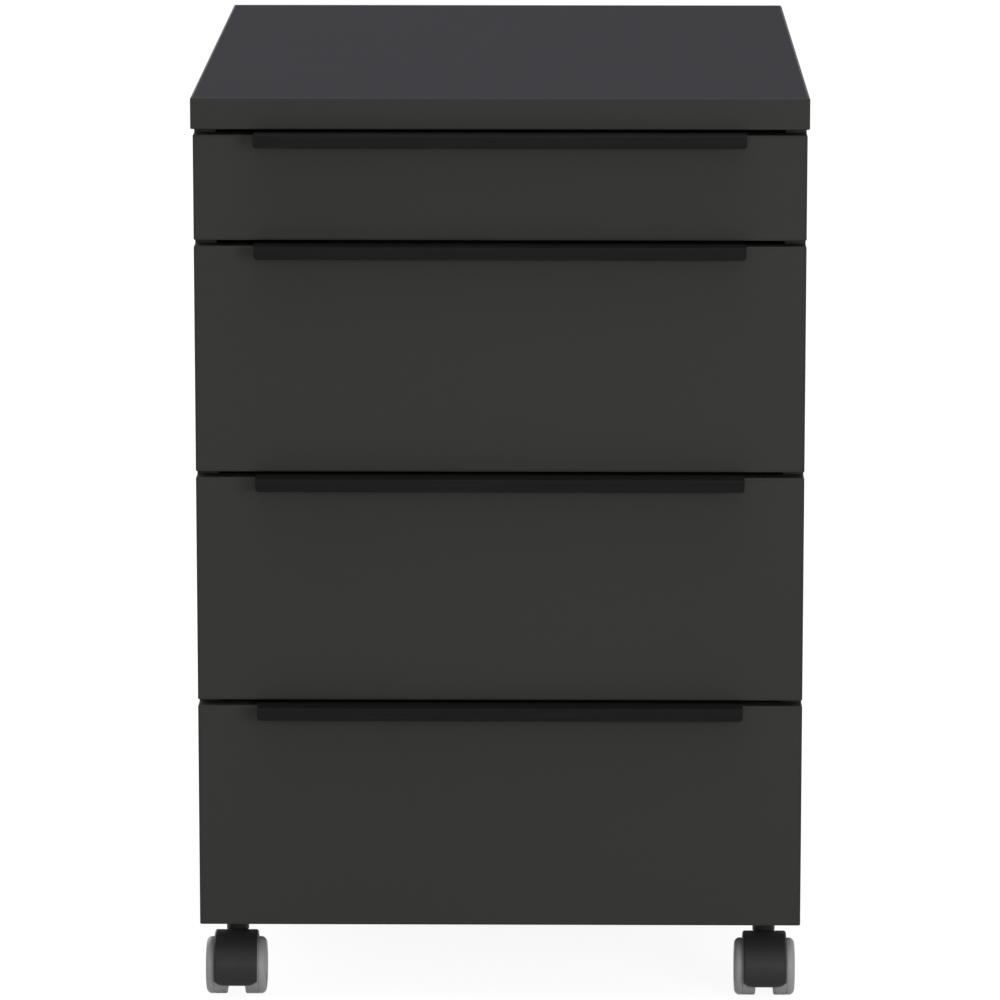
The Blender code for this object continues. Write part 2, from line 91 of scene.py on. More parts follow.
print("frame box in mm:", [round(side / MM, 1) for side in cad_high - cad_low])

# %% [markdown]
# ## The camera
# The portrait looks almost straight at the fronts, from high enough to see the top board. A long lens from
# several metres away keeps the upright edges nearly parallel. A shifted lens would keep them exactly so, but
# would push the object out of every other view, so the camera tilts down instead.

# %% Camera
CAMERA_PLACE = Vector((0.0442, -4.5, 1.1856))
CAMERA_PITCH = math.radians(10.99)
CAMERA_YAW = math.radians(0.6)
CAMERA_LENS = 220.5

camera_data = bpy.data.cameras.new("portrait_camera")
camera_data.lens = CAMERA_LENS
camera = bpy.data.objects.new("portrait_camera", camera_data)
camera.location = CAMERA_PLACE
camera.rotation_euler = (math.pi / 2 - CAMERA_PITCH, 0.0, CAMERA_YAW)
scene.collection.objects.link(camera)
scene.camera = camera
print("camera looks down by", round(math.degrees(CAMERA_PITCH), 1), "degrees")

# %% [markdown]
# ## Helpers for node trees
# Materials, the world and Geometry Nodes are all trees of nodes. One helper adds a node and sets its
# properties, another fills its inputs with values, links or whole nodes, whose first output is then meant.
# Colours are written as the eight-bit values that a screen shows, and turned into linear light.

# %% Node helpers
def fill(made, inputs):
    for key, value in inputs.items():
        source = value.outputs[0] if isinstance(value, bpy.types.Node) else value
        if isinstance(source, bpy.types.NodeSocket):
            made.id_data.links.new(source, made.inputs[key])
        else:
            made.inputs[key].default_value = source
    return made


def node(tree, kind, inputs=None, **settings):
    made = tree.nodes.new(kind)
    for key, value in settings.items():
        setattr(made, key, value)
    return fill(made, inputs or {})


def screen(*values):
    shares = [value / 255 for value in values]
    light = [share / 12.92 if share <= 0.04045 else ((share + 0.055) / 1.055) ** 2.4 for share in shares]
    return (*light, 1.0)


print("a screen grey of 128 is", round(screen(128, 128, 128)[0], 3), "in linear light")

# %% [markdown]
# ## White surroundings
# The portrait has a pure white background. Light strong enough to clip everything behind the cabinet would
# wash out the dark boards, so only the camera and shiny surfaces see white. Light Path tells their rays from
# diffuse ones, which get a gentler sky light. The Standard view shows a strength of 1 as white.

# %% World
SKY_COLOUR = (0.96, 0.98, 1.0, 1.0)
SKY_STRENGTH = 0.42
WHITE = (1.0, 1.0, 1.0, 1.0)


def by_ray(bounced, seen, output):
    tree = bounced.id_data
    path = node(tree, "ShaderNodeLightPath").outputs
    shiny = node(tree, "ShaderNodeMath", {0: path["Is Glossy Ray"], 1: path["Is Transmission Ray"]})
    direct = node(tree, "ShaderNodeMath", {0: path["Is Camera Ray"], 1: shiny}, use_clamp=True)
    choice = node(tree, "ShaderNodeMixShader", {0: direct, 1: bounced, 2: seen})
    node(tree, output, {"Surface": choice})


scene.view_settings.view_transform = "Standard"
world = bpy.data.worlds.new("studio")
world.use_nodes = True
scene.world = world
sky_tree = world.node_tree
sky_tree.nodes.clear()
sky = node(sky_tree, "ShaderNodeBackground", {"Color": SKY_COLOUR, "Strength": SKY_STRENGTH})
backdrop = node(sky_tree, "ShaderNodeBackground", {"Color": WHITE, "Strength": 1.0})
by_ray(sky, backdrop, "ShaderNodeOutputWorld")
print("sky light of", SKY_STRENGTH, "on the object, white behind it")

# %% [markdown]
# ## The floor
# A plain pale floor carries the shadow. Paint alone would come out grey and a glow alone would hide the
# shadow, so seen directly it is mostly white glow with a share of real shading. For the light that bounces
# up under the cabinet it is an ordinary matt surface.

# %% Floor
FLOOR_HALF = 14.0
FLOOR_GLOW = 0.915
FLOOR_SHADED = (0.25, 0.25, 0.25, 1.0)
FLOOR_PAINT = (0.55, 0.55, 0.55, 1.0)

floor_material = bpy.data.materials.new("pale_floor")
floor_material.use_nodes = True
floor_tree = floor_material.node_tree
floor_tree.nodes.clear()
paint = node(floor_tree, "ShaderNodeBsdfDiffuse", {"Color": FLOOR_PAINT})
shading = node(floor_tree, "ShaderNodeBsdfDiffuse", {"Color": FLOOR_SHADED})
glow = node(floor_tree, "ShaderNodeEmission", {"Color": WHITE, "Strength": FLOOR_GLOW})
by_ray(paint, node(floor_tree, "ShaderNodeAddShader", {0: shading, 1: glow}), "ShaderNodeOutputMaterial")

floor_mesh = bpy.data.meshes.new("floor")
corners = ((-1, -1), (1, -1), (1, 1), (-1, 1))
floor_mesh.from_pydata([(x * FLOOR_HALF, y * FLOOR_HALF, cad_low.z) for x, y in corners], [], [(0, 1, 2, 3)])
floor_mesh.materials.append(floor_material)
floor = bpy.data.objects.new("floor", floor_mesh)
scene.collection.objects.link(floor)
floor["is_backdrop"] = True
print("floor at z =", round(cad_low.z, 4))

# %% [markdown]
# ## Soft lamps
# The handles throw a short soft shadow to the left and a shorter one down, so the main lamp stands in front,
# about 30 degrees to the right and only a little above. A fill beside the camera reaches into the gaps
# between the fronts, a cooler lamp overhead makes the top board the brightest face and, with the painted
# cool shade in its melamine, the bluest, and one behind lights the back for other views.

# %% Lamps
LAMP_AIM = Vector((0.0, 0.0, 0.34))
WARM = (1.0, 0.995, 0.975)
COOL = (0.93, 0.93, 1.0)


def soft_lamp(name, colour, azimuth, elevation, distance, size, power):
    turn = math.radians(azimuth)
    lift = math.radians(elevation)
    toward = Vector((math.sin(turn) * math.cos(lift), -math.cos(turn) * math.cos(lift), math.sin(lift)))
    data = bpy.data.lights.new(name, "AREA")
    data.shape = "DISK"
    data.size = size
    data.energy = power
    data.color = colour
    lamp = bpy.data.objects.new(name, data)
    lamp.location = LAMP_AIM + toward * distance
    lamp.rotation_euler = (-toward).to_track_quat("-Z", "Y").to_euler()
    scene.collection.objects.link(lamp)
    return lamp


lamps = [
    soft_lamp("front_key", WARM, azimuth=30, elevation=8, distance=3.6, size=1.5, power=36.0),
    soft_lamp("front_fill", WARM, azimuth=0, elevation=12, distance=4.2, size=0.6, power=20.5),
    soft_lamp("overhead", COOL, azimuth=0, elevation=82, distance=2.6, size=2.2, power=34.0),
    soft_lamp("rear_fill", WHITE[:3], azimuth=215, elevation=18, distance=3.8, size=2.4, power=55.0),
]
print(len(lamps), "soft lamps")

# %% [markdown]
# ## Finishes
# A finish is more than a colour. Each one has a tone that drifts a little, a roughness that drifts too, and
# a relief at the size of the real texture. One helper starts a material and sets on its shader what is the
# same all over. Another links the three patterns to it.

# %% Finish helpers
def new_finish(name, specular, **more):
    material = bpy.data.materials.new(name)
    material.use_nodes = True
    shader = material.node_tree.nodes["Principled BSDF"]
    fill(shader, {"Specular IOR Level": specular, **more})
    return material, material.node_tree


def dressed(material, tone, rough, normal):
    nodes = material.node_tree.nodes
    fill(nodes["Principled BSDF"], {"Base Color": tone, "Roughness": rough, "Normal": normal})
    print(material.name, "from", len(nodes), "nodes")
    return material


print("a finish takes a tone, a roughness and a relief")

# %% [markdown]
# The patterns read Object coordinates, which are plain metres here, so a noise scale of 1000 makes spots
# about a millimetre across. A noise stays near its middle, so one helper spreads that range out before the
# others mix colours with it or turn it into a relief.

# %% Pattern helpers
def spots(tree, scale, detail, stretch=None):
    place = node(tree, "ShaderNodeTexCoord").outputs["Object"]
    if stretch:
        place = node(tree, "ShaderNodeMapping", {"Vector": place, "Scale": stretch})
    return node(tree, "ShaderNodeTexNoise", {"Vector": place, "Scale": scale, "Detail": detail})


def spread(value, low=0.0, high=1.0, start=0.35, end=0.65):
    limits = {"Value": value, "From Min": start, "From Max": end, "To Min": low, "To Max": high}
    return node(value.id_data, "ShaderNodeMapRange", limits)


def mixed(factor, first, second):
    colours = {0: factor, 6: first, 7: second}
    return node(factor.id_data, "ShaderNodeMix", colours, data_type="RGBA").outputs[2]


def toned(colour, share):
    return (*(part * share for part in colour[:3]), 1.0)


def drift(value, colour, low, high):
    return mixed(spread(value), toned(colour, low), toned(colour, high))


def relief(height, depth, strength):
    bumps = {"Height": height, "Distance": depth, "Strength": strength}
    return node(height.id_data, "ShaderNodeBump", bumps)


print("helpers ready: spots, spread, mixed, toned, drift, relief")

# %% [markdown]
# ### Graphite melamine
# The boards are chipboard faced with dark paper soaked in melamine resin and pressed to a fine pearl grain.
# It could be one flat grey, but then the large fronts look like plastic film. Here a fine noise drives both
# the relief and the roughness, and a broad one lets the tone drift by a few parts in a hundred.

# %% Melamine
def make_melamine(name, colour, specular=0.02):
    material, tree = new_finish(name, specular)
    pearl = spots(tree, scale=1500, detail=2.0)
    tone = drift(spots(tree, scale=6, detail=3.0), colour, 0.985, 1.015)
    flecked = mixed(spread(pearl), toned(colour, 0.93), tone)
    return dressed(material, flecked, spread(pearl, 0.46, 0.58), relief(pearl, 0.03 * MM, strength=0.5))


graphite = make_melamine("graphite_melamine", screen(59.8, 59.7, 58))
# Top board: a darker, bluer copy of the same melamine, that is painted shade and a painted cool tint.
top_melamine_painted_shade = make_melamine("graphite_top_melamine", screen(54.3, 53.6, 56.6), specular=0.0015)
drawer_grey = make_melamine("drawer_melamine", screen(60, 60, 59))

# %% [markdown]
# ### Edge band
# A plastic strip covers the boards' cut edges. It is a touch smoother than the faces and the first to show
# rubbing, so sparse pale flecks appear where a noise passes a threshold.

# %% Edge band finish
def make_edge_band(name, colour):
    material, tree = new_finish(name, specular=0.04)
    grain = spots(tree, scale=900, detail=3.0)
    rub = spread(spots(tree, scale=260, detail=4.0), start=0.68, end=0.76)
    worn = mixed(rub, colour, toned(colour, 1.25))
    return dressed(material, worn, spread(grain, 0.4, 0.5), relief(grain, 0.02 * MM, strength=0.4))


edge_band = make_edge_band("graphite_edge_band", screen(56, 56, 53.6))
drawer_band = make_edge_band("drawer_edge_band", screen(58, 58, 57))

# %% [markdown]
# ### Back sheet
# A thin hardboard with a printed face closes the back. Its pressed fibres show as a soft felt-like mottling,
# stretched sideways because the sheet is pressed from a flowing mat.

# %% Back sheet finish
def make_hardboard(name, colour):
    material, tree = new_finish(name, specular=0.15)
    fibre = spots(tree, scale=700, detail=5.0, stretch=(0.35, 1.0, 1.0))
    tone = drift(spots(tree, scale=30, detail=4.0), colour, 0.92, 1.08)
    felt = mixed(spread(fibre), toned(colour, 0.86), tone)
    return dressed(material, felt, spread(fibre, 0.6, 0.75), relief(fibre, 0.06 * MM, strength=0.5))


hardboard = make_hardboard("printed_hardboard", screen(56, 56, 55))

# %% [markdown]
# ### Satin black handle strip
# The handle strips are drawn aluminium, blasted and dyed black. Drawing leaves faint lines along the strip,
# so the noise is stretched a hundredfold along X, until its spots become streaks.

# %% Handle finish
def make_black_strip(name, colour):
    material, tree = new_finish(name, specular=0.03)
    streak = spots(tree, scale=1400, detail=3.0, stretch=(0.01, 1.0, 1.0))
    blast = relief(spots(tree, scale=3200, detail=1.0), 0.015 * MM, strength=0.5)
    return dressed(material, drift(streak, colour, 0.85, 1.15), spread(streak, 0.34, 0.46), blast)


black_strip = make_black_strip("satin_black_strip", screen(28, 28, 28))

# %% [markdown]
# ### Powder-coated drawer steel
# Powder paint melts into a skin with slow waves, the orange peel. Two noises make it: a wide one for the
# waves and a fine one for the powder's own grain.

# %% Powder coat
def make_powder_coat(name, colour):
    material, tree = new_finish(name, specular=0.35)
    peel = spots(tree, scale=520, detail=1.0)
    tone = drift(spots(tree, scale=2600, detail=2.0), colour, 0.93, 1.05)
    return dressed(material, tone, spread(peel, 0.38, 0.5), relief(peel, 0.08 * MM, strength=0.6))


powder_grey = make_powder_coat("powder_coat_grey", screen(92, 94, 96))

# %% [markdown]
# ### Zinc plate
# Runners, caster plates and screws are plated. Zinc grows in small crystals that reflect a little
# differently from each other, so Voronoi cells shift the tone and the roughness from cell to cell.

# %% Zinc plate
def make_zinc(name, colour, cells):
    material, tree = new_finish(name, specular=0.5, Metallic=1.0)
    place = node(tree, "ShaderNodeTexCoord").outputs["Object"]
    crystal = node(tree, "ShaderNodeTexVoronoi", {"Vector": place, "Scale": cells}).outputs["Color"]
    cell = node(tree, "ShaderNodeSeparateColor", {"Color": crystal})
    haze = spots(tree, scale=90, detail=4.0)
    tone = mixed(cell, toned(colour, 0.88), toned(colour, 1.06))
    dulled = mixed(spread(haze, 0, 0.35), tone, toned(colour, 0.7))
    rough = spread(cell, 0.28, 0.42, start=0.0, end=1.0)
    return dressed(material, dulled, rough, relief(haze, 0.02 * MM, strength=0.4))


zinc_sheet = make_zinc("zinc_plated_sheet", screen(168, 169, 170), cells=420)
zinc_screw = make_zinc("zinc_plated_screws", screen(178, 178, 176), cells=1500)

# %% [markdown]
# ### Moulded plastics and rubber
# The hoods are black nylon from an eroded mould, which leaves an even fine grain. The wheels are a soft grey
# tread on a hard grey body, and pick up dust in faint patches. The runner rollers are pale nylon with a
# little light inside, and the bumpers are soft rubber.

# %% Plastics
def make_moulded(name, colour, roughness, specular, grain_scale, dust=0.0, glow=0.0):
    inner_light = {"Subsurface Weight": glow, "Subsurface Scale": 1.5 * MM}
    material, tree = new_finish(name, specular, **inner_light)
    grain = spots(tree, grain_scale, detail=2.0)
    patch = spots(tree, scale=120, detail=4.0)
    tone = drift(grain, colour, 0.95, 1.05)
    dusty = mixed(spread(patch, 0, dust), tone, screen(150, 148, 144))
    rough = spread(patch, roughness - 0.05, roughness + 0.05)
    return dressed(material, dusty, rough, relief(grain, 0.02 * MM, strength=0.5))


black_nylon = make_moulded("black_moulded_nylon", screen(47, 47, 47.5), 0.45, 0.12, 2400)
tread_grey = make_moulded("grey_soft_tread", screen(158, 158, 158.5), 0.6, 0.2, 1500, dust=0.12)
hub_grey = make_moulded("grey_wheel_body", screen(155, 155, 155.5), 0.45, 0.25, 2200, dust=0.05)
pale_nylon = make_moulded("pale_roller_nylon", screen(206, 205, 198), 0.4, 0.4, 1800, glow=0.2)
soft_rubber = make_moulded("dark_bumper_rubber", screen(40, 40, 41), 0.6, 0.2, 2000)

# %% [markdown]
# ## Helpers that turn shapes into pieces
# Every piece ends in the same way: its mesh gets its name and finishes, its object is linked at the origin,
# it rides on a body of the frame, and it may stand for a solid of the frame, which then hides. Smooth
# shading with sharp edges by angle suits hard parts, and Weighted Normal keeps their flat faces flat.

# %% Piece helpers
SHARP_ANGLE = math.radians(32)
MERGE_DISTANCE = 0.001 * MM


def shaded(mesh):
    mesh.shade_smooth()
    mesh.set_sharp_from_angle(angle=SHARP_ANGLE)
    return mesh


def mesh_from(bm):
    bmesh.ops.remove_doubles(bm, verts=bm.verts, dist=MERGE_DISTANCE)
    bmesh.ops.recalc_face_normals(bm, faces=bm.faces)
    mesh = bpy.data.meshes.new("shape")
    bm.to_mesh(mesh)
    bm.free()
    return shaded(mesh)


def add_piece(name, mesh, finishes, body, solid=None):
    mesh.name = name
    for finish in finishes:
        mesh.materials.append(finish)
    piece = bpy.data.objects.new(name, mesh)
    scene.collection.objects.link(piece)
    flat_faces = piece.modifiers.new("flat_faces", "WEIGHTED_NORMAL")
    flat_faces.keep_sharp = True
    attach(piece, body)
    if solid:
        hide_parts(solid)


print("edges sharper than", round(math.degrees(SHARP_ANGLE)), "degrees stay sharp")

# %% [markdown]
# Three more helpers work on finished meshes. One moves a mesh to its place, mirrored if it belongs on the
# left. One gives a mesh a modifier for a moment, for a Boolean cut or for Geometry Nodes, and keeps only the
# plain result. One joins meshes.

# %% Placing and applying
def placed(mesh, offset=(0, 0, 0), side="right"):
    if side == "left":
        mesh.transform(Matrix.Scale(-1, 4, Vector((1, 0, 0))))
        mesh.flip_normals()
    mesh.transform(Matrix.Translation(offset))
    return mesh


def applied(mesh, kind, inputs=None, **settings):
    holder = bpy.data.objects.new("holder", mesh)
    scene.collection.objects.link(holder)
    modifier = holder.modifiers.new("shape", kind)
    for key, value in settings.items():
        setattr(modifier, key, value)
    for identifier, value in (inputs or {}).items():
        modifier[identifier] = value
    bpy.context.view_layer.update()
    result = bpy.data.meshes.new_from_object(holder.evaluated_get(bpy.context.evaluated_depsgraph_get()))
    bpy.data.objects.remove(holder)
    return shaded(result)


def joined(*meshes):
    bm = bmesh.new()
    for mesh in meshes:
        bm.from_mesh(mesh)
    return mesh_from(bm)


print("helpers ready: placed, applied, joined")

# %% [markdown]
# ## Banded boards
# A board could be a scaled cube, but a real one has soft edges that catch the light and a hairline where the
# band meets the face. So the cube's edges are bevelled, and each broad face is inset three times: in to the
# seam, down into it, and up again. The rim takes the band's finish and the middle the melamine's.

# %% Board helper
BAND_THICK = 1.4 * MM
BAND_RADIUS = 1.0 * MM
SEAM_WIDTH = 0.24 * MM
SEAM_DEPTH = 0.1 * MM
FACE_INDEX, BAND_INDEX = 0, 1


def block(low, high, edge=0.0, segments=2):
    bm = bmesh.new()
    place = Matrix.Translation((low + high) / 2) @ Matrix.Diagonal((*(high - low), 1.0))
    bmesh.ops.create_cube(bm, size=1.0, matrix=place)
    if edge:
        bmesh.ops.bevel(bm, geom=bm.edges[:], offset=edge, segments=segments, profile=0.5, affect="EDGES")
    return bm


def board_mesh(low, high):
    bm = block(low, high, BAND_RADIUS, segments=3)
    for face in bm.faces:
        face.material_index = BAND_INDEX
    insets = ((BAND_THICK - BAND_RADIUS, 0.0), (SEAM_WIDTH / 2, -SEAM_DEPTH), (SEAM_WIDTH / 2, SEAM_DEPTH))
    for face in sorted(bm.faces, key=lambda item: item.calc_area())[-2:]:
        for thickness, depth in insets:
            bmesh.ops.inset_region(bm, faces=[face], thickness=thickness, depth=depth, use_even_offset=True)
        face.material_index = FACE_INDEX
    return mesh_from(bm)


def cut(mesh, low, high):
    tool = bpy.data.objects.new("cutter", mesh_from(block(low, high)))
    scene.collection.objects.link(tool)
    result = applied(mesh, "BOOLEAN", object=tool)
    bpy.data.objects.remove(tool)
    return result


def add_board(solid, finishes, body):
    add_piece(f"{solid}_board", board_mesh(*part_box(solid)), finishes, body, solid)


print("boards: band", round(BAND_THICK / MM, 1), "mm, radius", round(BAND_RADIUS / MM, 1), "mm")

# %% [markdown]
# ## The carcass
# Four boards make the box: a thicker top that lies over everything, two sides and a bottom. The thin back
# sheet slides in grooves near the rear edges, so each board gets that groove cut with a Boolean, a little
# wider than the sheet. The sheet's sawn edges are barely broken, so a block with a small bevel is enough.

# %% Carcass boards
GROOVE_PLAY = 0.3 * MM
SHEET_EDGE = 0.3 * MM
PANELS = ("top_panel", "left_side_panel", "right_side_panel", "bottom_panel")

sheet_low, sheet_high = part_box("back_panel")
play = Vector((GROOVE_PLAY, GROOVE_PLAY, GROOVE_PLAY))
for panel in PANELS:
    board = cut(board_mesh(*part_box(panel)), sheet_low - play, sheet_high + play)
    finishes = (top_melamine_painted_shade if panel == "top_panel" else graphite, edge_band)
    add_piece(panel.replace("panel", "board"), board, finishes, "carcass", panel)
sheet = mesh_from(block(sheet_low, sheet_high, SHEET_EDGE))
add_piece("back_sheet", sheet, (hardboard,), "carcass", "back_panel")
print(len(PANELS), "boards round a sheet of", round((sheet_high.y - sheet_low.y) / MM, 1), "mm")

# %% [markdown]
# ## Drawer fronts
# One shallow front over three deep ones, all banded like the carcass boards. The list of drawers is read
# from the frame, and later loops use it too.

# %% Drawer fronts
DRAWERS = sorted(body for body in frame["bodies"] if body.startswith("drawer_"))

for drawer in DRAWERS:
    add_board(f"{drawer}_front", (graphite, edge_band), drawer)
print("fronts on", ", ".join(DRAWERS))

# %% [markdown]
# ## Outlines with rounded corners
# Folded metal is the same section all along. The section is written as corner points, each with its own bend
# radius, and a helper replaces every corner by an arc that touches both of its sides.

# %% Rounded outlines
BEND_STEPS = 4


def arc(centre, radius, start, end, steps):
    turns = [math.radians(start + (end - start) * step / steps) for step in range(steps + 1)]
    return [(centre[0] + radius * math.cos(turn), centre[1] + radius * math.sin(turn)) for turn in turns]


def rounded(*corners):
    outline = []
    for index, (a, b, radius) in enumerate(corners):
        corner = Vector((a, b))
        before = (Vector(corners[index - 1][:2]) - corner).normalized()
        after = (Vector(corners[(index + 1) % len(corners)][:2]) - corner).normalized()
        half = before.angle(after) / 2
        centre = corner + (before + after).normalized() * (radius / math.sin(half))
        first = corner + before * (radius / math.tan(half)) - centre
        last = corner + after * (radius / math.tan(half)) - centre
        start = math.degrees(math.atan2(first.y, first.x))
        sweep = (math.degrees(math.atan2(last.y, last.x)) - start + 180) % 360 - 180
        outline += arc(centre, radius, start, start + sweep, BEND_STEPS)
    return outline


print("a corner becomes", BEND_STEPS + 1, "points")

# %% [markdown]
# The outline is then set out at two or more stations along an axis, and a skin is lofted between them. That
# is simpler and cleaner than bevelling every bend of a finished solid. Only the rims of the two end faces
# may still get a bevel.

# %% Lofts
def set_out(outline, axis, along):
    slot = "XYZ".index(axis)
    return [(*point[:slot], along, *point[slot:]) for point in outline]


def lofted(loops, end_round=0.0):
    bm = bmesh.new()
    rings = [[bm.verts.new(point) for point in loop] for loop in loops]
    caps = [bm.faces.new(rings[0]), bm.faces.new(rings[-1])]
    for near, far in zip(rings, rings[1:]):
        for index in range(len(near)):
            bm.faces.new((near[index - 1], near[index], far[index], far[index - 1]))
    bmesh.ops.recalc_face_normals(bm, faces=bm.faces)
    if end_round:
        rims = [edge for cap in caps for edge in cap.edges]
        bmesh.ops.bevel(bm, geom=rims, offset=end_round, segments=2, profile=0.5, affect="EDGES")
    return mesh_from(bm)


def extruded(outline, axis, start, end, end_round=0.0):
    return lofted([set_out(outline, axis, along) for along in (start, end)], end_round)


print("helpers ready: set_out, lofted, extruded")

# %% [markdown]
# ## Handle strips
# Each handle is one strip hooked over the upper edge of its front. A short lip hangs down in front, for
# fingers to reach behind, and a longer leg behind takes the screws. The lip's two lower corners are round,
# so the section isn't extruded but lofted through a few stations at each end, with a lip that grows.

# %% Handle strips
STRIP_WALL = 1.5 * MM
LIP_HEIGHT = 9 * MM
LIP_CORNER = 2.4 * MM
LIP_STATIONS = 6
OUTER_BEND = 1.2 * MM
INNER_BEND = 0.3 * MM
STRIP_EDGE = 0.35 * MM


def strip_section(low, high, raised):
    lip_z = high.z - LIP_HEIGHT + raised
    return rounded(
        (low.y, lip_z, STRIP_EDGE),
        (low.y, high.z, OUTER_BEND),
        (high.y, high.z, OUTER_BEND),
        (high.y, low.z, STRIP_EDGE),
        (high.y - STRIP_WALL, low.z, STRIP_EDGE),
        (high.y - STRIP_WALL, high.z - STRIP_WALL, INNER_BEND),
        (low.y + STRIP_WALL, high.z - STRIP_WALL, INNER_BEND),
        (low.y + STRIP_WALL, lip_z, STRIP_EDGE),
    )


def strip_mesh(low, high):
    ends = arc((LIP_CORNER, LIP_CORNER), LIP_CORNER, 180, 270, LIP_STATIONS)
    stations = [(low.x + inset, raised) for inset, raised in ends]
    stations += [(high.x - inset, raised) for inset, raised in reversed(ends)]
    return lofted([set_out(strip_section(low, high, raised), "X", x) for x, raised in stations])


for drawer in DRAWERS:
    handle = f"{drawer}_handle"
    low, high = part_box(handle)
    add_piece(f"{handle}_strip", strip_mesh(low, high), (black_strip,), drawer, handle)
print("handle strips", round((high.x - low.x) / MM), "mm long")

# %% [markdown]
# ## Steel drawer sides
# Each side is a folded sheet: a foot that carries the bottom board, an upright wall, a rail that runs on the
# cabinet's roller, and a rim folded out and down so that no sharp edge meets a hand. The section goes once
# round the sheet, with wide bends outside, tight ones inside and barely broken edges.

# %% Side section
STEEL = 1.2 * MM
RUNNER_SPACE = 13 * MM
FOOT = 12 * MM
RIM = 7 * MM
RIM_DROP = 6 * MM
RAIL_CLEARANCE = 2.5 * MM
BEND = 1.6 * MM
TIGHT_BEND = 0.4 * MM
SHEET_CORNER = 0.25 * MM

panel_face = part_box("right_side_panel")[0].x
wall_x = panel_face - RUNNER_SPACE
inside_x = wall_x - STEEL


def side_section(low, high, rail):
    rail_x = panel_face - RAIL_CLEARANCE
    rim_x = wall_x + RIM
    return rounded(
        (inside_x - FOOT, low.z, SHEET_CORNER),
        (wall_x, low.z, BEND),
        (wall_x, rail, SHEET_CORNER),
        (rail_x, rail, TIGHT_BEND),
        (rail_x, rail + STEEL, TIGHT_BEND),
        (wall_x, rail + STEEL, SHEET_CORNER),
        (wall_x, high.z - STEEL, TIGHT_BEND),
        (rim_x - STEEL, high.z - STEEL, TIGHT_BEND),
        (rim_x - STEEL, high.z - RIM_DROP, SHEET_CORNER),
        (rim_x, high.z - RIM_DROP, SHEET_CORNER),
        (rim_x, high.z, BEND),
        (inside_x, high.z, BEND),
        (inside_x, low.z + STEEL, TIGHT_BEND),
        (inside_x - FOOT, low.z + STEEL, SHEET_CORNER),
    )


print("inside faces", round(2 * inside_x / MM, 1), "mm apart")

# %% [markdown]
# The rail stops short of the rear end to make room for the drawer's own roller. A Boolean could cut it off,
# but its tool would lie flush with the wall and leave slivers. So the loft goes on with a section whose rail
# is pressed flat. Every drawer has a left and a right side, each with its runner, and later loops use that
# list too.

# %% Drawer sides
RAIL_ABOVE_RUNNER = 19.8 * MM
REAR_ROLLER_RADIUS = 10 * MM
ROLLER_END_SPACE = 3 * MM
SIDES = {"left": -1, "right": 1}
RUNNERS = {}
for drawer in DRAWERS:
    for side in SIDES:
        RUNNERS[drawer, side] = drawer.replace("drawer", "runner") + f"_{side}"


def side_mesh(low, high, rail):
    whole = side_section(low, high, rail)
    flush = [(min(a, wall_x), b) if rail - STEEL < b < rail + 2 * STEEL else (a, b) for a, b in whole]
    rail_end = high.y - 2 * (REAR_ROLLER_RADIUS + ROLLER_END_SPACE)
    stations = ((low.y, whole), (rail_end, whole), (rail_end, flush), (high.y, flush))
    return lofted([set_out(section, "Y", y) for y, section in stations])


for (drawer, side), runner in RUNNERS.items():
    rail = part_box(runner)[0].z + RAIL_ABOVE_RUNNER
    steel = placed(side_mesh(*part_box(f"{drawer}_right_side"), rail), side=side)
    solid = f"{drawer}_{side}_side"
    add_piece(f"{drawer}_{side}_steel", steel, (powder_grey,), drawer, solid)
print("steel sides:", len(RUNNERS))

# %% [markdown]
# ## Drawer boards
# Between the steel sides lie a bottom and a back of the same chipboard, so the banded board serves again.

# %% Drawer boards
for drawer in DRAWERS:
    for place in ("bottom", "back"):
        add_board(f"{drawer}_{place}", (drawer_grey, drawer_band), drawer)
print("drawer boards:", 2 * len(DRAWERS))

# %% [markdown]
# ## Brackets behind the fronts
# The steel sides need something to hold on to at the front. A small folded angle on each side is screwed to
# the front's back and clinched to the wall, between the bottom board and the foot of the handle's rear leg.
# One L-shaped outline, extruded upwards, makes it.

# %% Front brackets
BRACKET_WALL = 1.5 * MM
BRACKET_FLANGE = 10.5 * MM
BRACKET_REACH = 26 * MM
BRACKET_EDGE = 0.3 * MM
BRACKET_GAP = 0.1 * MM
BRACKET_FOOT_SPACE = 1 * MM
BRACKET_TOP_SPACE = 1.8 * MM

bracket_x = inside_x - BRACKET_GAP
bracket_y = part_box("drawer_1_front")[1].y + BRACKET_GAP
angle_section = rounded(
    (bracket_x, bracket_y, BEND),
    (bracket_x, bracket_y + BRACKET_REACH, TIGHT_BEND),
    (bracket_x - BRACKET_WALL, bracket_y + BRACKET_REACH, TIGHT_BEND),
    (bracket_x - BRACKET_WALL, bracket_y + BRACKET_WALL, TIGHT_BEND),
    (bracket_x - BRACKET_FLANGE, bracket_y + BRACKET_WALL, TIGHT_BEND),
    (bracket_x - BRACKET_FLANGE, bracket_y, TIGHT_BEND),
)
bracket_spans = {}
for drawer, side in RUNNERS:
    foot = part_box(f"{drawer}_bottom")[1].z + BRACKET_FOOT_SPACE
    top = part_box(f"{drawer}_handle")[0].z - BRACKET_TOP_SPACE
    bracket_spans[drawer] = (foot, top)
    bracket = placed(extruded(angle_section, "Z", foot, top, BRACKET_EDGE), side=side)
    add_piece(f"{drawer}_{side}_bracket", bracket, (zinc_sheet,), drawer)
print("front brackets:", len(RUNNERS))

# %% [markdown]
# ## Cabinet runners
# Open channels are screwed to the side panels. The drawer's rear roller runs inside, and the channel's front
# roller carries the drawer's rail. It is the plainest fold of all, three walls with two bends.

# %% Runner channels
RUNNER_GAP = 0.3 * MM
CHANNEL_FLANGE = 11.5 * MM

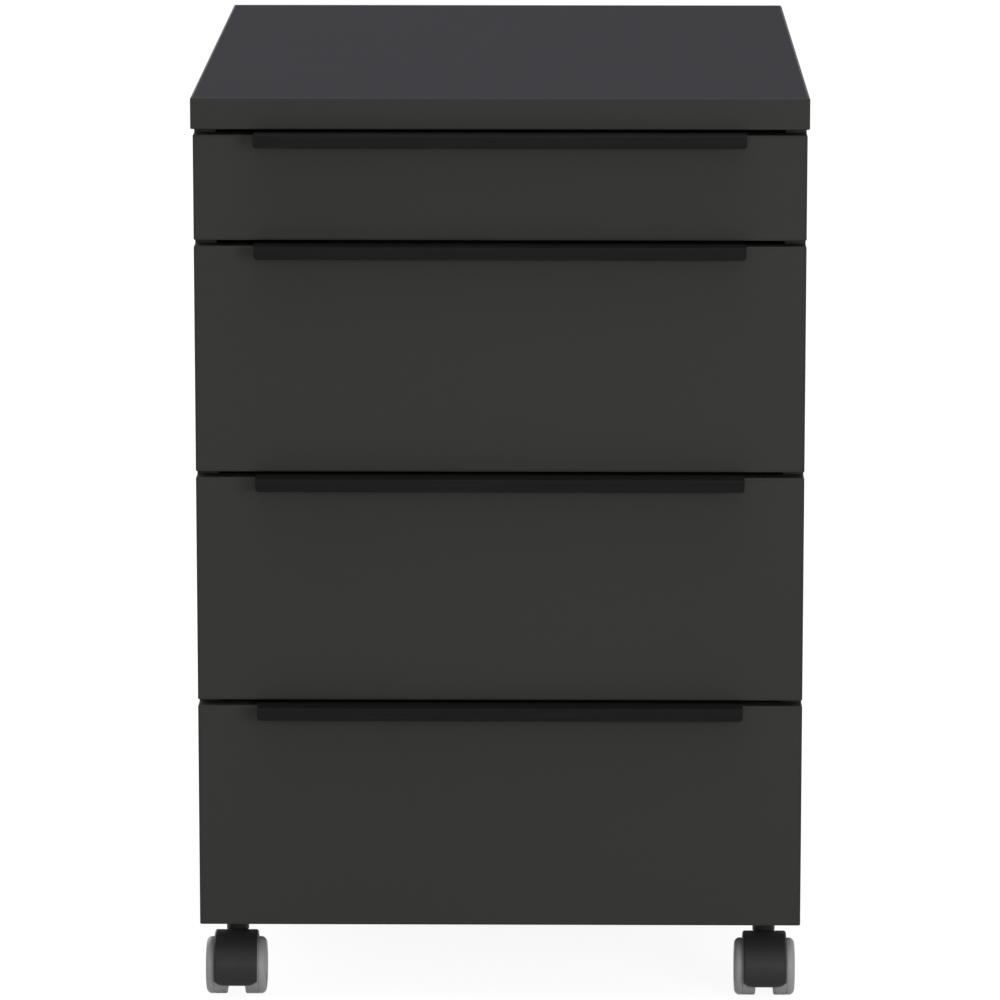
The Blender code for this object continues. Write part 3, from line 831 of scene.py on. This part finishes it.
channel_back = panel_face - RUNNER_GAP
channel_lip = panel_face - CHANNEL_FLANGE
for (drawer, side), runner in RUNNERS.items():
    low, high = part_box(runner)
    section = rounded(
        (channel_lip, low.z, TIGHT_BEND),
        (channel_back, low.z, BEND),
        (channel_back, high.z, BEND),
        (channel_lip, high.z, TIGHT_BEND),
        (channel_lip, high.z - STEEL, TIGHT_BEND),
        (channel_back - STEEL, high.z - STEEL, TIGHT_BEND),
        (channel_back - STEEL, low.z + STEEL, TIGHT_BEND),
        (channel_lip, low.z + STEEL, TIGHT_BEND),
    )
    channel = placed(extruded(section, "Y", low.y, high.y), side=side)
    add_piece(f"{runner}_channel", channel, (zinc_sheet,), "carcass", runner)
print("runner channels:", len(RUNNERS))

# %% [markdown]
# ## Turned pieces
# Rollers, necks and wheels are round. Each is drawn as half a section, points along the axis with their
# radius, and spun about it. Where the section meets the axis, the spin closes it with a pole, and a stretch
# along the axis itself is left out.

# %% Spin helper
TURN_STEPS = 32


def turned(section, steps=TURN_STEPS, upright=False):
    bm = bmesh.new()
    verts = [bm.verts.new((along, 0.0, radius)) for along, radius in section]
    edges = [bm.edges.new(pair) for pair in zip(verts, verts[1:]) if max(vert.co.z for vert in pair) > 0]
    if section[0][1] > 0:
        edges.append(bm.edges.new((verts[-1], verts[0])))
    spun = {"cent": (0, 0, 0), "axis": (1, 0, 0), "angle": math.tau, "steps": steps, "use_merge": True}
    bmesh.ops.spin(bm, geom=verts + edges, **spun)
    if upright:
        bmesh.ops.rotate(bm, cent=(0, 0, 0), matrix=Matrix.Rotation(-math.pi / 2, 3, "Y"), verts=bm.verts)
    return mesh_from(bm)


print("turned pieces have", TURN_STEPS, "sides unless a call says otherwise")

# %% [markdown]
# ## Runner rollers
# A roller is a nylon wheel with broken edges, a shallow groove round its rim and a hollow on the inner face
# for its rivet. Each channel has one at its front end, and each drawer side a larger one at its rear end.

# %% Rollers
FRONT_ROLLER_RADIUS = 9 * MM
FRONT_ROLLER_LIFT = 10.5 * MM
REAR_ROLLER_LIFT = 11.6 * MM
ROLLER_START = 2.2 * MM
ROLLER_WIDTH = 8 * MM
ROLLER_EDGE = 0.7 * MM
GROOVE_DEPTH = 0.3 * MM
GROOVE_MOUTH = 1.6 * MM
GROOVE_FLOOR = 0.64 * MM
HOLLOW_DEPTH = 0.8 * MM
HOLLOW_FLOOR_SHARE = 0.62
HOLLOW_MOUTH_SHARE = 0.7

roller_x = panel_face - ROLLER_START - ROLLER_WIDTH


def add_roller(name, radius, place, side, body):
    edge, middle = ROLLER_EDGE, ROLLER_WIDTH / 2
    section = [
        (HOLLOW_DEPTH, 0.0),
        (HOLLOW_DEPTH, radius * HOLLOW_FLOOR_SHARE),
        (0.0, radius * HOLLOW_MOUTH_SHARE),
        *arc((edge, radius - edge), edge, 180, 90, steps=3),
        (middle - GROOVE_MOUTH / 2, radius),
        (middle - GROOVE_FLOOR / 2, radius - GROOVE_DEPTH),
        (middle + GROOVE_FLOOR / 2, radius - GROOVE_DEPTH),
        (middle + GROOVE_MOUTH / 2, radius),
        *arc((ROLLER_WIDTH - edge, radius - edge), edge, 90, 0, steps=3),
        (ROLLER_WIDTH, 0.0),
    ]
    roller = placed(placed(turned(section), (roller_x, 0, 0)), place, side)
    add_piece(name, roller, (pale_nylon,), body)


front_rollers, rear_rollers = {}, {}
for (drawer, side), runner in RUNNERS.items():
    low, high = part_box(runner)
    front_y = low.y + ROLLER_END_SPACE + FRONT_ROLLER_RADIUS
    rear_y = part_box(f"{drawer}_{side}_side")[1].y - ROLLER_END_SPACE - REAR_ROLLER_RADIUS
    front_rollers[runner] = Vector((0, front_y, low.z + FRONT_ROLLER_LIFT))
    rear_rollers[runner] = Vector((0, rear_y, low.z + REAR_ROLLER_LIFT))
    add_roller(f"{runner}_roller", FRONT_ROLLER_RADIUS, front_rollers[runner], side, "carcass")
    add_roller(f"{drawer}_{side}_roller", REAR_ROLLER_RADIUS, rear_rollers[runner], side, drawer)
print("rollers:", len(front_rollers) + len(rear_rollers))

# %% [markdown]
# ## Caster plates
# Each caster hangs on a stamped plate under the bottom board, with rounded corners and broken edges. The
# swivel pin is riveted into it and reaches down into the hood's neck.

# %% Caster plates
PLATE_CORNER = 5 * MM
PLATE_THICK = 2.5 * MM
PLATE_EDGE = 0.4 * MM
PIN_RADIUS = 3.5 * MM
PIN_REACH = 8 * MM

CASTERS = sorted(body.removeprefix("swivel_") for body in frame["bodies"] if body.startswith("swivel_"))
swivels = {}
for caster in CASTERS:
    solid = f"caster_plate_{caster}"
    low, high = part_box(solid)
    base = high.z - PLATE_THICK
    tip = base - PIN_REACH
    swivels[caster] = Vector(((low.x + high.x) / 2, (low.y + high.y) / 2, 0))
    square = [(low.x, low.y), (high.x, low.y), (high.x, high.y), (low.x, high.y)]
    plate = extruded(rounded(*((x, y, PLATE_CORNER) for x, y in square)), "Z", base, high.z, PLATE_EDGE)
    pin = turned([(tip, 0.0), (tip, PIN_RADIUS), (base, PIN_RADIUS), (base, 0.0)], upright=True)
    riveted = joined(plate, placed(pin, swivels[caster]))
    add_piece(f"caster_{caster}_plate", riveted, (zinc_sheet,), "carcass", solid)
print("casters:", ", ".join(CASTERS))

# %% [markdown]
# ## Sums with nodes
# The next shapes follow rules, so Geometry Nodes make them. In a tree every sum is a Math node, so each
# operation gets a short name and a rule reads like a formula. Other helpers start a tree with its inputs,
# end it with real geometry in its finish, and grow a mesh from it. The inputs have identifiers of their own,
# so they are looked up by name.

# %% Tree helpers
def operation(kind):
    def made(*values):
        tree = next(value.id_data for value in values if hasattr(value, "id_data"))
        return node(tree, "ShaderNodeMath", dict(enumerate(values)), operation=kind)

    return made


plus, minus, times, over = map(operation, ("ADD", "SUBTRACT", "MULTIPLY", "DIVIDE"))
larger, power, root = map(operation, ("MAXIMUM", "POWER", "SQRT"))
sine, cosine, unsigned = map(operation, ("SINE", "COSINE", "ABSOLUTE"))


def new_tree(name, sockets):
    tree = bpy.data.node_groups.new(name, "GeometryNodeTree")
    for socket, kind in sockets.items():
        tree.interface.new_socket(socket, in_out="INPUT", socket_type=f"NodeSocket{kind}")
    tree.interface.new_socket("Geometry", in_out="OUTPUT", socket_type="NodeSocketGeometry")
    return tree, node(tree, "NodeGroupInput").outputs


def end_tree(tree, geometry, finish):
    real = node(tree, "GeometryNodeRealizeInstances", {"Geometry": geometry})
    done = node(tree, "GeometryNodeSetMaterial", {"Geometry": real, "Material": finish})
    node(tree, "NodeGroupOutput", {"Geometry": done})
    print(tree.name, "tree with", len(tree.nodes), "nodes")
    return tree


def grown(tree, values, base=None):
    sockets = [item for item in tree.interface.items_tree if item.in_out == "INPUT"]
    inputs = {socket.identifier: values[socket.name] for socket in sockets if socket.name in values}
    return applied(base or bpy.data.meshes.new("empty"), "NODES", inputs, node_group=tree)


print("helpers ready: operation, new_tree, end_tree, grown")

# %% [markdown]
# ## Caster hoods from Geometry Nodes
# The hood is the black arch over both wheels: from the front an upright shield with soft edges, and a lower
# rim that rolls under and sweeps up at its corners. A flat box with many cuts is bent round the axle. Where
# a point lies across, along and through the box gives its place across the hood, its angle and its distance
# from the axle. The rule also thins the box to a round edge on both sides, sinks the front rim in a quarter
# ellipse and lets it start later towards its corners.

# %% Hood rule
WHEEL_RADIUS = 20.5 * MM
WHEEL_TRAIL = 18 * MM
HOOD_SIZES = {
    "Half Width": 15.5 * MM,
    "Inner Radius": 22.3 * MM,
    "Outer Radius": 25.5 * MM,
    "Start": math.radians(-25.5),
    "End": math.radians(150),
    "Rim Flat": 6.5 * MM,
    "Rim Rise": 4.4 * MM,
    "Rim Round": 6.5 * MM,
    "Rim Sink": 2.6 * MM,
    "Axle Y": -WHEEL_TRAIL,
    "Axle Z": WHEEL_RADIUS,
}


def bent_place(tree, given):
    half_width, inner, outer = (given[name] for name in ("Half Width", "Inner Radius", "Outer Radius"))
    position = node(tree, "GeometryNodeInputPosition")
    box = node(tree, "ShaderNodeSeparateXYZ", {0: position}).outputs
    half_wall = times(minus(outer, inner), 0.5)
    across = times(half_width, sine(times(box["X"], math.pi / 2)))
    reach = unsigned(across)
    edge = over(larger(minus(reach, minus(half_width, half_wall)), 0.0), half_wall)
    thinned = root(larger(minus(1.0, power(edge, 2.0)), 0.0))
    past_flat = larger(minus(reach, given["Rim Flat"]), 0.0)
    corner = over(past_flat, minus(half_width, given["Rim Flat"]))
    start = plus(given["Start"], over(times(given["Rim Rise"], power(corner, 3.0)), outer))
    sweep = times(minus(given["End"], start), power(plus(box["Y"], 0.5), 2.0))
    angle = plus(start, sweep)
    nearness = larger(minus(1.0, over(times(sweep, outer), given["Rim Round"])), 0.0)
    fall = minus(1.0, root(minus(1.0, power(nearness, 2.0))))
    sunk = times(times(fall, given["Rim Sink"]), larger(box["Z"], 0.0))
    offset = times(thinned, minus(times(box["Z"], half_wall), sunk))
    radius = plus(plus(inner, half_wall), offset)
    y = minus(given["Axle Y"], times(radius, cosine(angle)))
    z = plus(given["Axle Z"], times(radius, sine(angle)))
    return node(tree, "ShaderNodeCombineXYZ", {"X": across, "Y": y, "Z": z})


print("the rule takes", len(HOOD_SIZES), "sizes")

# %% [markdown]
# The tree around the rule is short. It makes the flat box, moves every point to its bent place, and welds
# the points that meet along the two edges, where the thinned wall closes.

# %% Hood tree
HOOD_BOX = {"Size": (2.0, 1.0, 2.0), "Vertices X": 25, "Vertices Y": 41, "Vertices Z": 2}


def hood_tree():
    tree, given = new_tree("hood_cover", {**{size: "Float" for size in HOOD_SIZES}, "Finish": "Material"})
    box = node(tree, "GeometryNodeMeshCube", HOOD_BOX)
    bent = node(tree, "GeometryNodeSetPosition", {"Geometry": box, "Position": bent_place(tree, given)})
    welded = node(tree, "GeometryNodeMergeByDistance", {"Geometry": bent, "Distance": MERGE_DISTANCE})
    return end_tree(tree, welded, given["Finish"])


cover = grown(hood_tree(), {**HOOD_SIZES, "Finish": black_nylon})
print("hood cover with", len(cover.polygons), "faces")

# %% [markdown]
# The cover was grown once and is copied to the four casters. Under it sits the core: a web between the
# wheels that holds the axle, which is an extruded outline, and a round neck that turns on the pin.

# %% Caster hoods
WEB_HALF = 6 * MM
WEB_HUB = 7 * MM
WEB_EDGE = 0.5 * MM
WEB_OVERLAP = 0.4 * MM
WEB_END_DEGREES = 4
NECK_RADIUS = 8 * MM
NECK_EDGE = 0.5 * MM
BORE_PLAY = 0.3 * MM


def web_mesh():
    axle = (-WHEEL_TRAIL, WHEEL_RADIUS)
    first, last = (180 - math.degrees(HOOD_SIZES[name]) for name in ("Start", "End"))
    outer_ends = (first - WEB_END_DEGREES, last + WEB_END_DEGREES)
    under_cover = arc(axle, HOOD_SIZES["Inner Radius"] + WEB_OVERLAP, *outer_ends, steps=28)
    hub = arc(axle, WEB_HUB, last, first - 360, steps=16)
    return extruded(under_cover + hub, "X", -WEB_HALF, WEB_HALF, WEB_EDGE)


def neck_mesh(top):
    base = WHEEL_RADIUS + HOOD_SIZES["Inner Radius"]
    bore = PIN_RADIUS + BORE_PLAY
    section = [
        (base, 0.0),
        (base, NECK_RADIUS),
        *arc((top - NECK_EDGE, NECK_RADIUS - NECK_EDGE), NECK_EDGE, 90, 0, steps=3),
        (top, bore),
        (top - PIN_REACH, bore),
        (top - PIN_REACH, 0.0),
    ]
    return turned(section, upright=True)


for caster in CASTERS:
    body, solid = f"swivel_{caster}", f"caster_hood_{caster}"
    hood_cover = placed(cover.copy(), swivels[caster])
    core = placed(joined(web_mesh(), neck_mesh(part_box(solid)[1].z)), swivels[caster])
    add_piece(f"caster_{caster}_hood_cover", hood_cover, (), body, solid)
    add_piece(f"caster_{caster}_hood_core", core, (black_nylon,), body)
    frame["nodes"][f"caster_axle_{caster}"].material_slots[0].material = zinc_screw
print("hoods on", len(CASTERS), "casters")

# %% [markdown]
# ## Wheels
# Each wheel has a soft tread on a hard body. The outer shoulder, which shows beside the hood, has a wide
# round, the side is dished, and a low cap covers the axle's end. The section runs from the bore, out along
# the inner face, across the tread and back in along the outer face.

# %% Wheel shape
WHEEL_INNER_X = 6.5 * MM
WHEEL_WIDTH = 15 * MM
WHEEL_STEPS = 64
AXLE_BORE = 2.75 * MM
BORE_DEPTH = 12.4 * MM
HUB_FACE = 6 * MM
RECESS_DEPTH = 1.2 * MM
RECESS_SLOPE = 1 * MM
RECESS_EDGE = 17 * MM
INNER_ROUND = 1.2 * MM
TREAD_WIDTH = 9.4 * MM
TREAD_DEPTH = 2 * MM
SEAM_DROP = 0.4 * MM
SHOULDER = 4 * MM
RIM_ROUND = 0.5 * MM
RIM_RADIUS = 15.4 * MM
DISH_X = 13.6 * MM
DISH_RADIUS = 14 * MM
# Rise above the dish and radius, in millimetres: a groove and then a low dome.
CAP_POINTS = ((0, 9.4), (-0.4, 9.1), (-0.4, 8.5), (0, 8.3), (0.5, 7.8), (0.9, 5.5), (1.1, 2.5), (1.15, 0))


def wheel_mesh():
    inner_face = [
        (0.0, AXLE_BORE),
        (0.0, HUB_FACE),
        (RECESS_DEPTH, HUB_FACE + RECESS_SLOPE),
        (RECESS_DEPTH, RECESS_EDGE - RECESS_SLOPE),
        (0.0, RECESS_EDGE),
    ]
    tread = [
        *arc((INNER_ROUND, WHEEL_RADIUS - INNER_ROUND), INNER_ROUND, 180, 90, steps=4),
        (TREAD_WIDTH - SEAM_DROP, WHEEL_RADIUS),
        (TREAD_WIDTH, WHEEL_RADIUS - SEAM_DROP),
        (TREAD_WIDTH + SEAM_DROP, WHEEL_RADIUS),
    ]
    shoulder = arc((WHEEL_WIDTH - SHOULDER, WHEEL_RADIUS - SHOULDER), SHOULDER, 90, 0, steps=8)
    rim = arc((WHEEL_WIDTH - RIM_ROUND, RIM_RADIUS), RIM_ROUND, 0, -60, steps=3)
    cap = [(DISH_X + rise * MM, radius * MM) for rise, radius in CAP_POINTS]
    bore = [(BORE_DEPTH, 0.0), (BORE_DEPTH, AXLE_BORE)]
    section = [*inner_face, *tread, *shoulder, *rim, (DISH_X, DISH_RADIUS), *cap, *bore]
    mesh = turned(section, WHEEL_STEPS)
    for face in mesh.polygons:
        on_tread = face.center.x < TREAD_WIDTH and math.hypot(*face.center.yz) > WHEEL_RADIUS - TREAD_DEPTH
        face.material_index = 0 if on_tread else 1
    return placed(mesh, (WHEEL_INNER_X, 0, 0))


print("wheel", round(2 * WHEEL_RADIUS / MM), "mm across and", round(WHEEL_WIDTH / MM), "mm wide")

# %% [markdown]
# Two wheels share an axle, one on either side of the web. The left one is mirrored, so that both turn their
# caps outwards.

# %% Wheels
for caster in CASTERS:
    hub_place = swivels[caster] + Vector((0, -WHEEL_TRAIL, WHEEL_RADIUS))
    for side in SIDES:
        label = f"{caster}_{side}"
        wheel = placed(wheel_mesh(), hub_place, side)
        finishes, solid = (tread_grey, hub_grey), f"caster_wheel_{label}"
        add_piece(f"caster_tyre_{label}", wheel, finishes, f"wheel_{label}", solid)
print("wheels:", len(CASTERS) * len(SIDES))

# %% [markdown]
# ## Fasteners from Geometry Nodes
# Screws, rivets and bumpers are the same small dome, many times over, so one tree makes them all. It rounds
# a short cylinder into a dome and cuts a cross into it where it is a screw. The head is made a metre high
# and scaled down afterwards, because a Boolean is unsafe on shapes of a millimetre.

# %% Fastener head
DOME_SHAPE = {"Vertices": 20, "Side Segments": 4, "Radius": 1.0, "Depth": 1.0}
DOME_FULLNESS = 0.85
CROSS_ARMS = ((0.95, 0.22, 0.9), (0.22, 0.95, 0.9))


def raised(tree, geometry, height):
    return node(tree, "GeometryNodeTransform", {"Geometry": geometry, "Translation": (0.0, 0.0, height)})


def dome_head(tree, cross):
    barrel = raised(tree, node(tree, "GeometryNodeMeshCylinder", DOME_SHAPE), DOME_SHAPE["Depth"] / 2)
    position = node(tree, "GeometryNodeInputPosition")
    place = node(tree, "ShaderNodeSeparateXYZ", {0: position}).outputs
    narrowed = root(minus(1.0, power(times(place["Z"], DOME_FULLNESS), 2.0)))
    x, y = (times(place[name], narrowed) for name in "XY")
    domed = node(tree, "ShaderNodeCombineXYZ", {"X": x, "Y": y, "Z": place["Z"]})
    head = node(tree, "GeometryNodeSetPosition", {"Geometry": barrel, "Position": domed})
    crossed = node(tree, "GeometryNodeMeshBoolean", {"Mesh 1": head}, operation="DIFFERENCE", solver="EXACT")
    for size in CROSS_ARMS:
        arm = node(tree, "GeometryNodeMeshCube", {"Size": size})
        fill(crossed, {"Mesh 2": raised(tree, arm, DOME_SHAPE["Depth"])})
    choice = {"Switch": cross, "False": head, "True": crossed}
    return node(tree, "GeometryNodeSwitch", choice, input_type="GEOMETRY")


print("a head has", DOME_SHAPE["Vertices"], "sides")

# %% [markdown]
# A copy of the head is set on every marked point, turned the way the point's own arrow says, and given a
# random spin from a fixed seed, as real screws stop at any angle.

# %% Fastener tree
FASTENER_INPUTS = {
    "Radius": "Float",
    "Height": "Float",
    "Cross": "Bool",
    "Seed": "Int",
    "Finish": "Material",
}


def facing_turn(tree, seed):
    arrow = node(tree, "GeometryNodeInputNamedAttribute", {"Name": "arrow"}, data_type="FLOAT_VECTOR")
    facing = node(tree, "FunctionNodeAlignRotationToVector", {"Vector": arrow}, axis="Z")
    spin = node(tree, "FunctionNodeRandomValue", {2: 0.0, 3: math.tau, "Seed": seed}, data_type="FLOAT")
    twist = node(tree, "FunctionNodeAxisAngleToRotation", {"Axis": (0, 0, 1), "Angle": spin.outputs[1]})
    turns = {"Rotation": facing, "Rotate By": twist}
    return node(tree, "FunctionNodeRotateRotation", turns, rotation_space="LOCAL")


def fastener_tree():
    tree, given = new_tree("fasteners", {"Marks": "Geometry", **FASTENER_INPUTS})
    radius, height = given["Radius"], given["Height"]
    scale = node(tree, "ShaderNodeCombineXYZ", {"X": radius, "Y": radius, "Z": height})
    head = dome_head(tree, given["Cross"])
    sized = node(tree, "GeometryNodeTransform", {"Geometry": head, "Scale": scale})
    settings = {"Points": given["Marks"], "Instance": sized, "Rotation": facing_turn(tree, given["Seed"])}
    copies = node(tree, "GeometryNodeInstanceOnPoints", settings)
    return end_tree(tree, copies, given["Finish"])


FASTENER_TREE = fastener_tree()

# %% [markdown]
# The marks are bare vertices with an arrow attribute, so placing fasteners stays ordinary code. A helper
# turns a list of places and arrows into marks and grows the fasteners on them.

# %% Fastener helper
def add_fasteners(name, places, body, size, finish, cross=True, seed=1):
    marks = bpy.data.meshes.new("marks")
    marks.from_pydata([place for place, arrow in places], [], [])
    arrows = marks.attributes.new("arrow", "FLOAT_VECTOR", "POINT")
    for item, (place, arrow) in zip(arrows.data, places):
        item.vector = arrow
    values = dict(zip(FASTENER_INPUTS, (*size, cross, seed, finish)))
    add_piece(name, grown(FASTENER_TREE, values, marks), (), body)


print("fasteners take a radius with a height, a cross or none, and a seed")

# %% [markdown]
# The cabinet's own fasteners come first: four screws under every caster plate, three flat screws in every
# runner channel, nearly flush because the drawer's roller passes them, and the rivet of each front roller.

# %% Cabinet fasteners
# Each kind has the radius and the height of its head.
PLATE_SCREW = (3.4 * MM, 1.9 * MM)
RUNNER_SCREW = (3.2 * MM, 0.4 * MM)
RUNNER_RIVET = (3.0 * MM, 1.1 * MM)
PLATE_SCREW_INSET = 5.5 * MM
RUNNER_SCREW_SHARES = (0.16, 0.52, 0.88)
DOWN = (0, 0, -1)

caster_screws = []
for caster in CASTERS:
    low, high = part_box(f"caster_plate_{caster}")
    for x in (low.x + PLATE_SCREW_INSET, high.x - PLATE_SCREW_INSET):
        for y in (low.y + PLATE_SCREW_INSET, high.y - PLATE_SCREW_INSET):
            caster_screws.append(((x, y, high.z - PLATE_THICK), DOWN))
add_fasteners("caster_screws", caster_screws, "carcass", PLATE_SCREW, zinc_screw, seed=3)

runner_screws, runner_rivets = [], []
for (drawer, side), runner in RUNNERS.items():
    low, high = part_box(runner)
    sign = SIDES[side]
    inward = (-sign, 0, 0)
    for share in RUNNER_SCREW_SHARES:
        y = low.y + (high.y - low.y) * share
        runner_screws.append(((sign * (channel_back - STEEL), y, (low.z + high.z) / 2), inward))
    runner_rivets.append(((sign * (roller_x + HOLLOW_DEPTH), *front_rollers[runner].yz), inward))
add_fasteners("runner_screws", runner_screws, "carcass", RUNNER_SCREW, zinc_screw, seed=5)
add_fasteners("runner_rivets", runner_rivets, "carcass", RUNNER_RIVET, zinc_screw, cross=False)
print(len(caster_screws), "caster screws and", len(runner_screws), "runner screws")

# %% [markdown]
# Then each drawer's: screws through the handle's rear leg and the front brackets, the rivets of its rollers,
# and four soft bumpers that keep the front a little off the carcass.

# %% Drawer fasteners
FRONT_SCREW = (2.6 * MM, 1.3 * MM)
ROLLER_RIVET = (3.2 * MM, 1.0 * MM)
BUMPER = (4.0 * MM, 1.7 * MM)
HANDLE_SCREW_SHARES = (-0.86, -0.3, 0.3, 0.86)
HANDLE_SCREW_RISE = 8 * MM
BRACKET_SCREW_SHARES = (0.22, 0.78)
BUMPER_INSET = 13 * MM
FIRST_DRAWER_SEED = 11
REAR = (0, 1, 0)

for seed, drawer in enumerate(DRAWERS, FIRST_DRAWER_SEED):
    handle_low, handle_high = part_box(f"{drawer}_handle")
    front_low, front_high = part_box(f"{drawer}_front")
    foot, top = bracket_spans[drawer]
    leg_screw = (handle_high.y, handle_low.z + HANDLE_SCREW_RISE)
    screws = [((handle_high.x * share, *leg_screw), REAR) for share in HANDLE_SCREW_SHARES]
    rivets, bumpers = [], []
    for side, sign in SIDES.items():
        flange_x = sign * (bracket_x - (BRACKET_FLANGE + BRACKET_WALL) / 2)
        for share in BRACKET_SCREW_SHARES:
            screws.append(((flange_x, bracket_y + BRACKET_WALL, foot + (top - foot) * share), REAR))
        rivets.append(((sign * inside_x, *rear_rollers[RUNNERS[drawer, side]].yz), (-sign, 0, 0)))
        bumper_x = sign * (panel_face + front_high.x) / 2
        for z in (front_low.z + BUMPER_INSET, front_high.z - BUMPER_INSET):
            bumpers.append(((bumper_x, front_high.y, z), REAR))
    add_fasteners(f"{drawer}_screws", screws, drawer, FRONT_SCREW, zinc_screw, seed=seed)
    add_fasteners(f"{drawer}_rivets", rivets, drawer, ROLLER_RIVET, zinc_screw, cross=False)
    add_fasteners(f"{drawer}_bumpers", bumpers, drawer, BUMPER, soft_rubber, cross=False)
print("screws, rivets and bumpers on", len(DRAWERS), "drawers")

# %% Size and finish
low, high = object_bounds()
print("visual box in mm:", [round(side / MM, 1) for side in high - low])
